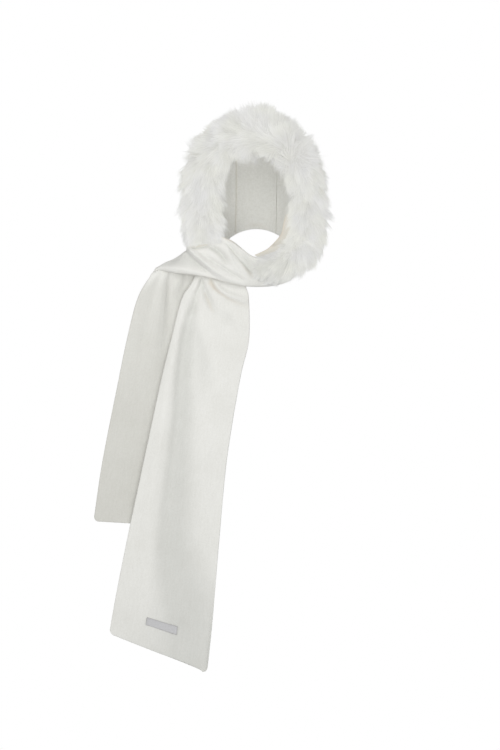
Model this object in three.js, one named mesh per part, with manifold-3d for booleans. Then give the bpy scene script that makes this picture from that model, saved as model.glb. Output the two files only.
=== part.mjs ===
// Hooded scarf with a deep fur trim, tied once under the chin.
//
// Millimetres. +Z is up, the face looks to -Y, and +X is on the right of a viewer in front.
// The origin is inside the crown, where the hood rests on the head.
//
// The hood is three cloth panels. A flat scarf tail leaves each side of its base. The right
// tail crosses in front of the left one, folds over beside it and falls behind it. The left
// tail comes out under that crossing and hangs in front, with a bare woven label near its hem.
// A roll of fur frames the face and runs on along the right tail to the chin.

import * as THREE from 'three'
import { mergeVertices } from 'three/addons/utils/BufferGeometryUtils.js'
import Module from 'manifold-3d'

const manifold = await Module()
manifold.setup()

// Cloth and clearances
const HOOD_WALL = 3.0           // two layers of brushed fleece
const TAIL_FLAT_WIDTH = 196     // width that each tail is cut and hemmed to
const TAIL_THICK = 4.0          // a tail's two layers, laid flat
const TAIL_MAX_THICK = 11.0     // the most that a gathered tail piles up
const GAP = 0.4                 // clear space between pieces that touch
const CUT_TOLERANCE = 0.05      // the finest facet kept along a cut

// Hood
const CENTRE_PANEL_HALF = 42    // half the width of the strip over the crown
const PANEL_SEAM = 0.35         // slit between two panels at a seam
const RIB_ROUND = 2.25          // 2 is an ellipse, more is squarer
const HOOD_STEPS = { back: 12, side: 9, centre: 5 }

// Fur
const FUR_STEPS = { along: 78, around: 16 }
const FUR_VALLEY = 0.74         // depth between two locks, as a share of the roll's radius
const FUR_TIP = 1.03            // height of a lock's tip, as a share of the radius
const FUR_TIP_VARY = 0.10
const FUR_LEAN = 9              // how far a lock's tip leans downhill

// Scarf tails
const TAIL_STEPS = { across: 14, length: 25 }
const EDGE_THICK = 0.4          // thickness left at a rounded edge, as a share
const SEAM_ROWS = 2             // rows over which a tail swells from its flat seam

// Label, a strip sewn across the front tail, parallel to the hem
const LABEL = { from: 0.365, to: 0.675, lowEdge: 50, tall: 15, thick: 0.8 }

// The hood's ribs fan out from the throat like those of a pram hood. Each row is one rib:
// the height of its top on the centre line, its foot beside the throat, how wide it
// swells, how far up it is widest, and how sharply it climbs from its foot to its top.
const HOOD_RIBS = smoothTable(
  ['topY', 'topZ', 'footX', 'footY', 'footZ', 'wide', 'widestAt', 'climb'],
  [
    [-76, -14, 70, -64, -236, 92, 0.46, 1],     // face edge
    [-34, -1, 68, -50, -240, 91, 0.45, 1],
    [18, -2, 66, -32, -242, 88, 0.42, 1],       // crown
    [66, -28, 64, -12, -242, 84, 0.36, 1],
    [100, -92, 61, 6, -240, 76, 0.24, 1.2],     // back of the head
    [90, -218, 57, 22, -236, 57, 0.02, 3],      // nape hem
  ])

// Centre line of the fur roll, from its left end over the crown to the chin.
const FUR_LINE = smoothTable(
  ['x', 'y', 'z', 'radius'],
  [
    [-102, -118, -266, 29],    // left end, hanging over the crossing
    [-106, -98, -232, 43],
    [-110, -76, -180, 48],
    [-109, -71, -130, 48],
    [-101, -70, -91, 48],
    [-66, -70, -41, 51],
    [-2, -70, -19, 52],        // over the forehead
    [60, -70, -41, 50],
    [94, -70, -91, 45],
    [105, -72, -144, 42],
    [105, -77, -195, 43],
    [93, -88, -240, 43],
    [68, -102, -272, 38],      // under the cheek
    [34, -114, -291, 33],
    [-2, -121, -301, 28],      // chin end
  ])

// Left tail. Each row is a line across the cloth, from its left edge to its right edge.
// bow is how far the middle stands out from the straight line between the edges.
const LEFT_TAIL = smoothTable(
  ['ax', 'ay', 'az', 'bx', 'by', 'bz', 'bow'],
  [
    [-70, 18, -212, -90, -58, -204, 8],      // 0  lapped on the hood's side
    [-82, 4, -246, -82, -66, -236, 7],       // 1
    [-106, -34, -268, -64, -80, -262, 5],    // 2  side of the neck
    [-124, -68, -286, -40, -88, -288, 3],    // 3
    [-122, -88, -308, -28, -90, -314, 2],    // 4  under the crossing
    [-128, -91, -330, -20, -90, -334, 1],    // 5
    [-142, -92, -357, -15, -91, -357, 1],    // 6
    [-166, -93, -437, -15, -93, -437, 2],    // 7
    [-188, -94, -517, -33, -94, -517, 2],    // 8
    [-225, -94, -677, -59, -94, -677, 1],    // 9
    [-260, -94, -839, -75, -94, -845, 0],    // 10
    [-284, -93, -958, -89, -93, -1010, 0],   // 11
    [-297, -92, -1030, -100, -92, -1112, 0], // 12 slanted hem
  ])

// Right tail, from its upper edge to its lower edge, which becomes the left one once
// the tail has folded over and falls.
const RIGHT_TAIL = smoothTable(
  ['ax', 'ay', 'az', 'bx', 'by', 'bz', 'bow'],
  [
    [90, -58, -204, 70, 18, -212, 8],        // 0  lapped on the hood's side
    [84, -68, -234, 78, 6, -248, 7],         // 1
    [70, -84, -258, 74, -34, -282, 6],       // 2  side of the neck
    [40, -96, -270, 46, -76, -313, 6],       // 3  under the cheek
    [-6, -104, -271, -6, -100, -331, 6],     // 4  chin
    [-50, -108, -239, -47, -108, -325, 6],   // 5  crossing the left tail
    [-92, -107, -228, -100, -108, -311, 6],  // 6
    [-119, -102, -234, -156, -104, -304, 5], // 7
    [-132, -86, -256, -203, -86, -297, 4],   // 8  folds over
    [-121, -70, -288, -216, -68, -318, 4],   // 9
    [-102, -66, -358, -238, -68, -358, 2],   // 10 behind the left tail
    [-86, -68, -439, -259, -70, -439, 1],    // 11
    [-92, -70, -519, -276, -70, -519, 0],    // 12
    [-118, -71, -681, -309, -71, -681, 0],   // 13
    [-134, -70, -814, -328, -70, -803, 0],   // 14 hem
  ])

// Folds pressed into a tail's outer face. Each fold is a line down the cloth: the row of
// the tail's table, the place across from 0 to 1, its depth in millimetres, below zero
// for a valley, and its half width across.
const LEFT_FOLDS = [
  foldLine([[4, 0.26, -6, 0.06], [5, 0.24, -8, 0.06], [6, 0.2, -8, 0.07],
    [7, 0.19, -8, 0.09], [8, 0.27, -7, 0.11], [9, 0.38, -5, 0.13], [10, 0.42, -3, 0.15],
    [12, 0.5, 0, 0.2]]),
  foldLine([[6, 0.05, 2, 0.06], [7, 0.05, 5, 0.07], [8, 0.11, 5, 0.09],
    [9, 0.18, 4, 0.11], [10, 0.15, 3, 0.12], [12, 0.1, 0, 0.12]]),
  foldLine([[4, 0.36, -6, 0.05], [5, 0.4, -7, 0.05], [6, 0.5, -3, 0.07], [6.6, 0.55, 0, 0.1]]),
  foldLine([[4.4, 0.5, -3, 0.05], [5, 0.58, -7, 0.05], [6, 0.78, -4, 0.07], [6.5, 0.95, 0, 0.08]]),
]
const RIGHT_FOLDS = [
  foldLine([[4.3, 0.85, 0, 0.07], [4.85, 0.79, -5, 0.07], [5.7, 0.6, -7, 0.07],
    [6.1, 0.4, -5, 0.07], [6.6, 0.15, 0, 0.08]]),
  foldLine([[5, 0.6, 0, 0.06], [5.2, 0.52, -5, 0.06], [5.7, 0.32, -6, 0.06], [6, 0.2, 0, 0.08]]),
  foldLine([[3.8, 0.46, 0, 0.07], [4.6, 0.28, -6, 0.07], [4.9, 0.16, -5, 0.07],
    [5.2, 0.05, 0, 0.08]]),
  foldLine([[5.4, 0.98, 0, 0.05], [6, 0.84, -7, 0.06], [6.45, 0.62, -8, 0.06],
    [6.8, 0.45, -8, 0.07], [7.4, 0.2, -5, 0.08], [7.8, 0.05, 0, 0.08]]),
  foldLine([[4.3, 0.95, 0, 0.08], [4.85, 0.9, 3, 0.08], [5.7, 0.78, 5, 0.09],
    [6.1, 0.6, 6, 0.1], [6.45, 0.4, 6, 0.1], [7, 0.15, 4, 0.1], [7.4, 0, 0, 0.1]]),
  foldLine([[6, 0.97, 0, 0.08], [6.5, 0.86, 3, 0.1], [7.2, 0.8, 4, 0.12], [8, 0.75, 0, 0.14]]),
  foldLine([[9, 0.58, 2, 0.07], [10, 0.6, 6, 0.08], [11, 0.6, 5, 0.1], [12.5, 0.6, 0, 0.12]]),
  foldLine([[9, 0.4, 2, 0.05], [10, 0.42, 4, 0.06], [10.8, 0.42, 0, 0.08]]),
]

// A table whose rows are joined by smooth curves. The row number is the parameter.
function smoothTable(names, rows) {
  const keys = rows.map((row, index) => index)
  const curve = new THREE.CubicInterpolant(keys, rows.flat(), names.length)
  const last = rows.length - 1
  const at = place => {
    const found = curve.evaluate(THREE.MathUtils.clamp(place, 0, last))
    return Object.fromEntries(names.map((name, index) => [name, found[index]]))
  }
  return { at, last }
}

// A fold's place, depth and half width, joined by straight lines between its rows.
function foldLine(rows) {
  const keys = rows.map(row => row[0])
  const line = new THREE.LinearInterpolant(keys, rows.flatMap(row => row.slice(1)), 3)
  return (place, across) => {
    if (place <= keys[0] || place >= keys[keys.length - 1]) return 0
    const [centre, depth, half] = line.evaluate(place)
    return depth * Math.exp(-(((across - centre) / half) ** 2))
  }
}

// A closed wall between two grids of points that match one to one.
function wall(front, back) {
  const rows = front.length
  const columns = front[0].length
  const positions = [...front.flat(), ...back.flat()].flatMap(point => point.toArray())
  const backStart = rows * columns
  const faces = []
  const quad = (a, b, c, d) => faces.push(a, b, c, a, c, d)
  const index = (row, column) => row * columns + column
  for (let row = 0; row < rows - 1; row += 1) {
    for (let column = 0; column < columns - 1; column += 1) {
      const corners = [[0, 0], [1, 0], [1, 1], [0, 1]].map(
        ([down, right]) => index(row + down, column + right))
      quad(...corners)
      quad(...corners.reverse().map(corner => corner + backStart))
    }
    for (const [column, turned] of [[0, false], [columns - 1, true]]) {
      const [here, next] = [index(row, column), index(row + 1, column)]
      const rim = [here, here + backStart, next + backStart, next]
      quad(...(turned ? rim.reverse() : rim))
    }
  }
  for (let column = 0; column < columns - 1; column += 1) {
    for (const [row, turned] of [[0, true], [rows - 1, false]]) {
      const [here, next] = [index(row, column), index(row, column + 1)]
      const rim = [here, here + backStart, next + backStart, next]
      quad(...(turned ? rim.reverse() : rim))
    }
  }
  return facetedSolid(positions, faces)
}

// Geometry from loose numbers, turned so that its faces point out.
function facetedSolid(positions, faces) {
  const geometry = new THREE.BufferGeometry()
  geometry.setAttribute('position', new THREE.Float32BufferAttribute(positions, 3))
  let volume = 0
  const corner = slot => new THREE.Vector3().fromArray(positions, faces[slot] * 3)
  for (let slot = 0; slot < faces.length; slot += 3) {
    volume += corner(slot).dot(corner(slot + 1).cross(corner(slot + 2)))
  }
  geometry.setIndex(volume < 0 ? [...faces].reverse() : faces)
  return geometry
}

function toManifold(geometry) {
  const bare = new THREE.BufferGeometry()
  bare.setAttribute('position', geometry.getAttribute('position').clone())
  bare.setIndex(geometry.getIndex().clone())
  const merged = mergeVertices(bare, 1e-4)
  return new manifold.Manifold(new manifold.Mesh({
    numProp: 3,
    vertProperties: new Float32Array(merged.getAttribute('position').array),
    triVerts: new Uint32Array(merged.getIndex().array),
  }))
}

// What is left of a solid once others are cut away: its largest body.
function cut(geometry, cutters) {
  let solid = toManifold(geometry)
  for (const cutter of cutters) solid = solid.subtract(toManifold(cutter))
  const bodies = solid.decompose().sort((one, other) => other.volume() - one.volume())
  const mesh = bodies[0].simplify(CUT_TOLERANCE).getMesh()
  return facetedSolid([...mesh.vertProperties], [...mesh.triVerts])
}

const range = (count, from = 0, to = 1) =>
  Array.from({ length: count + 1 }, (unused, step) => from + (to - from) * step / count)

// Inner face of the hood. back runs from 0 at the face edge to 1 at the nape, and up runs
// from 0 at a rib's foot to 1 at its top.
function hoodPoint(back, up, side) {
  const rib = HOOD_RIBS.at(back * HOOD_RIBS.last)
  const below = Math.max(0, (rib.widestAt - up) / rib.widestAt)
  const above = THREE.MathUtils.clamp((up - rib.widestAt) / (1 - rib.widestAt), 0, 1)
  const arch = (1 - above ** RIB_ROUND) ** (1 / RIB_ROUND)
  const x = up < rib.widestAt ? rib.wide - (rib.wide - rib.footX) * below ** 2 : rib.wide * arch
  return new THREE.Vector3(
    side * x,
    THREE.MathUtils.lerp(rib.footY, rib.topY, up),
    THREE.MathUtils.lerp(rib.footZ, rib.topZ, up ** rib.climb))
}

// Height up a rib at which it has a given half width, above its widest place.
function upAtWidth(back, halfWidth) {
  const rib = HOOD_RIBS.at(back * HOOD_RIBS.last)
  const share = (1 - (halfWidth / rib.wide) ** RIB_ROUND) ** (1 / RIB_ROUND)
  return rib.widestAt + (1 - rib.widestAt) * share
}

// A hood panel between two grids: the inner face and the outer face, square to it.
function hoodPanel(pointAt, steps, grow = 0) {
  const small = 1e-3
  const grid = offset => range(HOOD_STEPS.back).map(back => range(steps).map(share => {
    const here = pointAt(back, share)
    const alongBack = pointAt(Math.min(1, back + small), share)
      .sub(pointAt(Math.max(0, back - small), share))
    const alongShare = pointAt(back, Math.min(1, share + small))
      .sub(pointAt(back, Math.max(0, share - small)))
    const out = alongBack.clone().cross(alongShare).normalize()
    if (out.dot(here.clone().sub(new THREE.Vector3(0, 0, -130))) < 0) out.negate()
    if (back === 0) here.addScaledVector(alongBack.clone().normalize(), -grow)
    if (back === 1) here.addScaledVector(alongBack.clone().normalize(), grow)
    if (share === 0) here.addScaledVector(alongShare.clone().normalize(), -grow)
    if (share === 1) here.addScaledVector(alongShare.clone().normalize(), grow)
    return here.addScaledVector(out, offset)
  }))
  return wall(grid(HOOD_WALL + grow), grid(-grow))
}

const sidePoint = side => (back, share) => {
  const seamUp = upAtWidth(back, CENTRE_PANEL_HALF + PANEL_SEAM / 2)
  return hoodPoint(back, seamUp * share, side)
}

function centrePoint(back, share) {
  const x = (CENTRE_PANEL_HALF - PANEL_SEAM / 2) * (2 * share - 1)
  return hoodPoint(back, upAtWidth(back, Math.abs(x)), Math.sign(x) || 1)
}

// The hood's outer form, filled in, grown by the gap: what must stay clear of its outside.
function hoodFill() {
  const acrossSteps = HOOD_STEPS.side * 2 + HOOD_STEPS.centre
  const pointAt = (back, share) => {
    const swing = 2 * share - 1
    return hoodPoint(back, 1 - Math.abs(swing) ** 1.6, Math.sign(swing) || 1)
  }
  const middle = new THREE.Vector3(0, 10, -150)
  const grid = range(HOOD_STEPS.back).map(back => range(acrossSteps).map(share => {
    const here = pointAt(back, share)
    return here.addScaledVector(here.clone().sub(middle).normalize(), HOOD_WALL + 2 * GAP)
  }))
  const inner = grid.map(row => row.map(point => point.clone().sub(middle)
    .multiplyScalar(0.05).add(middle)))
  return wall(grid, inner)
}

// One point of a tail: on its middle surface, with the way out of its face.
function tailFrame(tail, place) {
  const edges = at => {
    const row = tail.at(at)
    return [new THREE.Vector3(row.ax, row.ay, row.az), new THREE.Vector3(row.bx, row.by, row.bz)]
  }
  const [start, end] = edges(place)
  const small = 0.02
  const middle = at => new THREE.Vector3().addVectors(...edges(at)).multiplyScalar(0.5)
  const along = middle(Math.min(tail.last, place + small))
    .sub(middle(Math.max(0, place - small))).normalize()
  const across = end.clone().sub(start)
  const out = along.clone().cross(across).normalize()
  return { start, across, along, out, width: across.length(), bow: tail.at(place).bow }
}

// Thickness across a tail. The cloth's section keeps its area as the tail is gathered, its
// edges are rounded, and it starts flat at the seam on the hood.
function tailThickness(width, across, place) {
  const piled = THREE.MathUtils.clamp(TAIL_THICK * TAIL_FLAT_WIDTH / width,
    TAIL_THICK, TAIL_MAX_THICK)
  const full = THREE.MathUtils.lerp(TAIL_THICK, piled,
    THREE.MathUtils.smoothstep(place, 0, SEAM_ROWS))
  const rounding = Math.sqrt(Math.max(0, 1 - (2 * across - 1) ** 4))
  return full * (EDGE_THICK + (1 - EDGE_THICK) * rounding)
}

// The middle surface of a tail, bowed but not yet folded.
function tailMiddle(tail, place, across) {
  const frame = tailFrame(tail, place)
  return frame.start.clone()
    .addScaledVector(frame.across, across)
    .addScaledVector(frame.out, frame.bow * 4 * across * (1 - across))
}

// A point of a tail's outer face (face 1) or inner face (face -1), square to the middle
// surface. Folds press into the outer face, and through the cloth where it lies flat.
function tailPoint(tail, folds, place, across, face, grow = 0) {
  const small = 0.02
  const slope = (one, other) => tailMiddle(tail, ...one).sub(tailMiddle(tail, ...other))
  const [before, after] = [Math.max(0, place - small), Math.min(tail.last, place + small)]
  const [left, right] = [Math.max(0, across - small), Math.min(1, across + small)]
  const out = slope([after, across], [before, across])
    .cross(slope([place, right], [place, left])).normalize()
  const thick = tailThickness(tailFrame(tail, place).width, across, place)
  const pressed = folds.reduce((sum, fold) => sum + fold(place, across), 0)
  const follows = face > 0 ? 1 : THREE.MathUtils.clamp(TAIL_THICK / thick, 0, 1)
  return tailMiddle(tail, place, across)
    .addScaledVector(out, pressed * follows + face * (thick / 2 + grow))
}

// Rows for a tail's grid, no further apart than the step along the cloth.
function tailRows(tail) {
  const rows = [0]
  for (let row = 0; row < tail.last; row += 1) {
    const [here, next] = [tailFrame(tail, row), tailFrame(tail, row + 1)]
    const middles = [here, next].map(({ start, across }) =>
      start.clone().addScaledVector(across, 0.5))
    const steps = Math.max(2, Math.round(middles[0].distanceTo(middles[1]) / TAIL_STEPS.length))
    rows.push(...range(steps, row, row + 1).slice(1))
  }
  return rows
}

function tailSolid(tail, folds, grow = 0) {
  const rows = tailRows(tail)
  const grid = face => rows.map(row => range(TAIL_STEPS.across).map(share => {
    const eased = share - 0.35 * Math.sin(2 * Math.PI * share) / (2 * Math.PI)
    const point = tailPoint(tail, folds, row, eased, face, grow)
    const frame = tailFrame(tail, row)
    const sideways = share === 0 ? -grow : share === 1 ? grow : 0
    const lengthways = row === 0 ? -grow : row === tail.last ? grow : 0
    return point
      .addScaledVector(frame.across, sideways / frame.width)
      .addScaledVector(frame.along, lengthways)
  }))
  return wall(grid(1), grid(-1))
}

// The fur: a roll whose surface is drawn out into pointed locks. Every second point of a
// grid round the roll is a tip and the four points next to it are the valleys round it.
function furRoll() {
  const { along, around } = FUR_STEPS
  const points = []
  const ringCentre = new THREE.Vector3(0, -75, -150)
  const lineAt = share => {
    const row = FUR_LINE.at(share * FUR_LINE.last)
    return { centre: new THREE.Vector3(row.x, row.y, row.z), radius: row.radius }
  }
  for (let step = 0; step <= along; step += 1) {
    const share = step / along
    const { centre, radius } = lineAt(share)
    const tangent = lineAt(Math.min(1, share + 0.01)).centre
      .sub(lineAt(Math.max(0, share - 0.01)).centre).normalize()
    const outward = centre.clone().sub(ringCentre)
    outward.addScaledVector(tangent, -outward.dot(tangent)).normalize()
    const forward = tangent.clone().cross(outward)
    const closing = Math.sqrt(Math.sin(Math.PI * THREE.MathUtils.clamp(
      Math.min(share, 1 - share) * 8, 0, 0.5)) + 0.04)
    for (let turn = 0; turn < around; turn += 1) {
      const angle = 2 * Math.PI * turn / around
      const normal = outward.clone().multiplyScalar(Math.cos(angle))
        .addScaledVector(forward, Math.sin(angle))
      const isTip = (step + turn) % 2 === 0
      const vary = Math.sin(step * 2.3 + turn * 4.1) * Math.cos(step * 0.7 - turn * 1.9)
      const reach = isTip ? FUR_TIP + FUR_TIP_VARY * vary : FUR_VALLEY
      const point = centre.clone().addScaledVector(normal, radius * closing * reach)
      if (isTip) point.z -= FUR_LEAN * closing * (0.6 + 0.4 * vary)
      points.push(point)
    }
  }
  const faces = []
  const index = (step, turn) => step * around + turn % around
  for (let step = 0; step < along; step += 1) {
    for (let turn = 0; turn < around; turn += 1) {
      const [a, b] = [index(step, turn), index(step + 1, turn)]
      const [c, d] = [index(step + 1, turn + 1), index(step, turn + 1)]
      if ((step + turn) % 2 === 0) faces.push(a, b, d, b, c, d)
      else faces.push(a, b, c, a, c, d)
    }
  }
  for (const [step, turned] of [[0, false], [along, true]]) {
    const tip = points.length
    points.push(lineAt(step / along).centre)
    for (let turn = 0; turn < around; turn += 1) {
      const pair = [index(step, turn), index(step, turn + 1)]
      faces.push(...(turned ? pair.reverse() : pair), tip)
    }
  }
  return facetedSolid(points.flatMap(point => point.toArray()), faces)
}

// The label lies on the left tail's outer face, a gap above it.
function labelSolid() {
  const { last } = LEFT_TAIL
  const hemRow = tailFrame(LEFT_TAIL, last)
  const rowBefore = tailFrame(LEFT_TAIL, last - 1)
  const rowLength = hemRow.start.distanceTo(rowBefore.start)
  const lowRow = last - LABEL.lowEdge / rowLength
  const highRow = lowRow - LABEL.tall / rowLength
  const grid = offset => range(2, highRow, lowRow).map(row =>
    range(8, LABEL.from, LABEL.to).map(across =>
      tailPoint(LEFT_TAIL, LEFT_FOLDS, row, across, 1, offset)))
  return wall(grid(GAP + LABEL.thick), grid(GAP))
}

const CLOTH = { color: 0xf3f1ea, roughness: 0.92, metalness: 0 }
const FUR = { color: 0xf6f5f1, roughness: 0.85, metalness: 0 }
const WOVEN = { color: 0xdcdcda, roughness: 0.7, metalness: 0 }

const scarf = new THREE.Group()

function addPiece(name, geometry, look) {
  const flat = geometry.index ? geometry.toNonIndexed() : geometry
  flat.computeVertexNormals()
  const mesh = new THREE.Mesh(flat, new THREE.MeshStandardMaterial(look))
  mesh.name = name
  scarf.add(mesh)
}

const panels = {
  hood_side_left: [sidePoint(-1), HOOD_STEPS.side],
  hood_centre_panel: [centrePoint, HOOD_STEPS.centre],
  hood_side_right: [sidePoint(1), HOOD_STEPS.side],
}
for (const [name, shape] of Object.entries(panels)) addPiece(name, hoodPanel(...shape), CLOTH)

const grownPanels = Object.values(panels).map(shape => hoodPanel(...shape, GAP))
const grownHood = [hoodFill(), ...grownPanels]
const grownLeftTail = tailSolid(LEFT_TAIL, LEFT_FOLDS, GAP)
const grownRightTail = tailSolid(RIGHT_TAIL, RIGHT_FOLDS, GAP)
const rightTail = cut(tailSolid(RIGHT_TAIL, RIGHT_FOLDS), [...grownHood, grownLeftTail])
addPiece('scarf_left', cut(tailSolid(LEFT_TAIL, LEFT_FOLDS), grownHood), CLOTH)
addPiece('scarf_right', rightTail, CLOTH)
addPiece('woven_label', labelSolid(), WOVEN)
addPiece('fur_trim',
  cut(furRoll(), [...grownPanels, grownLeftTail, grownRightTail, rightTail]), FUR)

export default scarf
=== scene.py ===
"""Looks of the hooded scarf: deep fur, brushed fleece, a bare woven label and a white studio.

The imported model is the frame: metres, +Z up, the face looks to -Y, and +X is on the right
of a viewer in front. The tables follow those of the part's source in millimetres, with some
rows moved a little towards the photo, and mesh_piece turns millimetres into metres. Each
shape is a function of two parameters on a grid, worked out with numpy as whole arrays.
"""

import math

import bpy
import numpy as np
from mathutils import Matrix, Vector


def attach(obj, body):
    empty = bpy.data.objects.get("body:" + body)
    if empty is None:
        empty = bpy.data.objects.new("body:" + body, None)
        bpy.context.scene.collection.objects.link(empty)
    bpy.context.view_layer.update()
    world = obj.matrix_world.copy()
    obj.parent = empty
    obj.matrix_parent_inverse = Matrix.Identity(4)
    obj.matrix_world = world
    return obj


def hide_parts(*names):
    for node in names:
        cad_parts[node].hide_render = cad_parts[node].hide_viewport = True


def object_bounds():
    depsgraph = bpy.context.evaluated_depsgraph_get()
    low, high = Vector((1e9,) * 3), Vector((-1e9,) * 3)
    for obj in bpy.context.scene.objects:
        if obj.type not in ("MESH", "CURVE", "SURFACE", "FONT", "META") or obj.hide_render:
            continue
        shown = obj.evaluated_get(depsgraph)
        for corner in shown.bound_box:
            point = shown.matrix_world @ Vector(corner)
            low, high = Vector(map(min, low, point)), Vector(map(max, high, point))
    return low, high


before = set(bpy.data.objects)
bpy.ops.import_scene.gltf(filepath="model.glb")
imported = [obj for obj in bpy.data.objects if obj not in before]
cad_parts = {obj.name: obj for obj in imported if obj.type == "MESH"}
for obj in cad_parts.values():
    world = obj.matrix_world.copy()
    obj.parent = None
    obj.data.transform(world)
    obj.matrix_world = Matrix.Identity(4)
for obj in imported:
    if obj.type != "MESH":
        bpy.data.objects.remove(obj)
cad_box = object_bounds()

MM = 0.001
CHUNK = 2000               # points that keep_off works out at once

# Cloth
HOOD_WALL = 3.0            # two layers of brushed fleece
HOOD_EDGE = 0.8            # radius to which a panel's edges are rounded
TAIL_FLAT_WIDTH = 196.0    # width that each tail is cut and hemmed to
TAIL_THICK = 4.0           # a tail's two layers, laid flat
TAIL_MAX_THICK = 11.0      # the most that a gathered tail piles up
SEAM_ROWS = 2.0            # rows over which a tail swells from its flat seam
HEM_CORNER = 11.0          # radius of a tail's two corners at the hem
CLOTH_GAP = 0.4            # clear space between pieces that touch
CLOTH_REACH = 20.0         # how far off a piece is still looked at when a tail is settled
DEEP_FOLD = 9.0            # depth at which a fold's floor takes its full shade
FOLD_FADE = 10.0           # width of the edge strip in which the folds fade out
CROWNED = 0.7              # how much thinner a gathered tail is at its edges
EDGE_WARM_SHADE = 0.08           # painted warm shade along a tail's two long edges
ROW_SPACING = 3.6          # distance of a tail's grid rows, along its middle line
TAIL_COLUMNS = 52
GATHER_HEIGHT = 3.2        # gathers of a tail by the neck
GATHER_WAVES = 38
NECK_ROWS = (0, 5)         # rows of both tails that lie on the hood's outside
OVER_ROWS = (3.4, 8)       # rows of the right tail in front of the left one
BEHIND_ROWS = (8.6, 14)    # its rows behind the left one
TURNED_ROWS = (8.8, 9.8)   # rows over which its duller back comes to the front
HEM_SHADE_ROWS = (10.5, 13.5)   # rows over which painted shade darkens it further, towards the hem
RIM_STEPS = 5              # grid lines that follow each rolled edge

# Hood
CENTRE_HALF = 42.0         # half the width of the strip over the crown
PANEL_SEAM = 0.35          # slit between two panels at a seam
RIB_ROUND = 2.25           # 2 is an ellipse, more is squarer
HOOD_CENTRE = np.array([0.0, 10.0, -130.0])
NAPE_HEM = 12.0            # depth of the turned hem at the nape
NAPE_HEM_SWELL = 0.8       # how much thicker the turned hem is, on each face
STITCH_INSET = 3.0         # how far inside the hem's depth its sewn line runs
STITCH_HALF = 1.1          # half width of that line's groove
STITCH_DEPTH = 0.7
PUCKER_HEIGHT = 0.25       # small waves of the cloth along a seam
PUCKER_WAVE = 8.0
PUCKER_REACH = 7.0
SEAM_SINK = 0.5            # how far the cloth sinks at a seam, and over which distance
SEAM_SINK_REACH = 5.0
SEAM_WARM_SHADE = (0.7, 0.12)   # painted warm shade in the left and the right seam, seen inside
SEAM_WARM_SHADE_REACH = 1.5
BACK_SHADE = 0.55        # how dark the painted shade is at the hood's back
BACK_SHADE_AT = (34.0, -145.0) # the patch's middle (x, z), its half width and half height
BACK_SHADE_HALF = (42.0, 50.0)
STITCH_WARM_SHADE = 0.3         # painted warm shade in the hem's sewn line
HOOD_LENGTH = 330.0        # a panel's size, from which its edges' share of the grid follows
HOOD_HEIGHT = 250.0
HOOD_ROWS = 90

# The hood's ribs fan out from the throat like those of a pram hood: the height of its top
# on the centre line (y, z), its foot beside the throat (x, y, z), how wide it swells, how
# far up it is widest, and how sharply it climbs from its foot to its top
HOOD_RIBS = [
    [-76, -14, 70, -64, -236, 92, 0.46, 1],     # face edge
    [-34, -1, 68, -50, -240, 91, 0.45, 1],
    [18, -2, 66, -32, -242, 88, 0.42, 1],       # crown
    [66, -28, 64, -12, -242, 84, 0.36, 1],
    [100, -92, 61, 6, -240, 76, 0.24, 1.2],     # back of the head
    [90, -218, 57, 22, -236, 57, 0.02, 3],      # nape hem
]

# Centre line of the fur roll, from its left end over the crown to the chin: x, y, z, radius
FUR_LINE = [
    [-102, -118, -266, 29],    # left end, hanging over the crossing
    [-102, -98, -229, 43],
    [-106, -76, -179, 48],
    [-106, -71, -130, 48],
    [-97, -70, -93, 48],
    [-66, -70, -42, 51],
    [-2, -70, -24, 52],        # over the forehead
    [58, -70, -45, 50],
    [87, -70, -95, 44],
    [101, -72, -144, 42],
    [101, -77, -193, 43],
    [93, -88, -240, 43],
    [68, -102, -272, 38],      # under the cheek
    [34, -114, -291, 33],
    [5, -119, -299, 27],       # chin end
]
FUR_RING_CENTRE = np.array([0.0, -75.0, -150.0])

# A tail's rows: its left edge (x, y, z), its right edge (x, y, z), and how far the middle
# stands out from the straight line between them
LEFT_TAIL = [
    [-70, 18, -212, -90, -58, -204, 8],      # 0  lapped on the hood's side
    [-82, 4, -246, -82, -66, -236, 7],       # 1
    [-106, -34, -268, -64, -80, -262, 5],    # 2  side of the neck
    [-124, -68, -286, -40, -88, -288, 3],    # 3
    [-122, -88, -308, -28, -90, -314, 2],    # 4  under the crossing
    [-133, -91, -330, -20, -90, -334, 1],    # 5
    [-149, -92, -357, -15, -91, -357, 1],    # 6
    [-170, -93, -437, -15, -93, -437, 2],    # 7
    [-190, -94, -517, -33, -94, -517, 2],    # 8
    [-225, -94, -677, -59, -94, -677, 1],    # 9
    [-260, -94, -839, -75, -94, -845, 0],    # 10
    [-284, -93, -958, -89, -93, -1010, 0],   # 11
    [-297, -92, -1030, -100, -92, -1112, 0], # 12 slanted hem
]
RIGHT_TAIL = [
    [90, -58, -204, 70, 18, -212, 8],        # 0  lapped on the hood's side
    [84, -68, -234, 78, 6, -248, 7],         # 1
    [70, -84, -258, 80, -40, -298, 6],       # 2  side of the neck
    [40, -96, -270, 47, -79, -326, 6],       # 3  under the cheek
    [-6, -104, -271, -6, -100, -331, 6],     # 4  chin
    [-50, -108, -239, -47, -108, -325, 6],   # 5  crossing the left tail
    [-92, -107, -228, -100, -108, -311, 6],  # 6
    [-117, -102, -238, -156, -104, -304, 5], # 7
    [-134, -86, -269, -199, -86, -299, 4],   # 8  folds over
    [-121, -79, -288, -216, -90, -318, 4],   # 9
    [-102, -76, -358, -238, -87, -358, 2],   # 10 behind the left tail
    [-86, -77, -439, -259, -84, -439, 1],    # 11
    [-92, -79, -519, -276, -82, -519, 0],    # 12
    [-118, -80, -681, -309, -80, -681, 0],   # 13
    [-134, -80, -814, -328, -80, -803, 0],   # 14 hem
]

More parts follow.
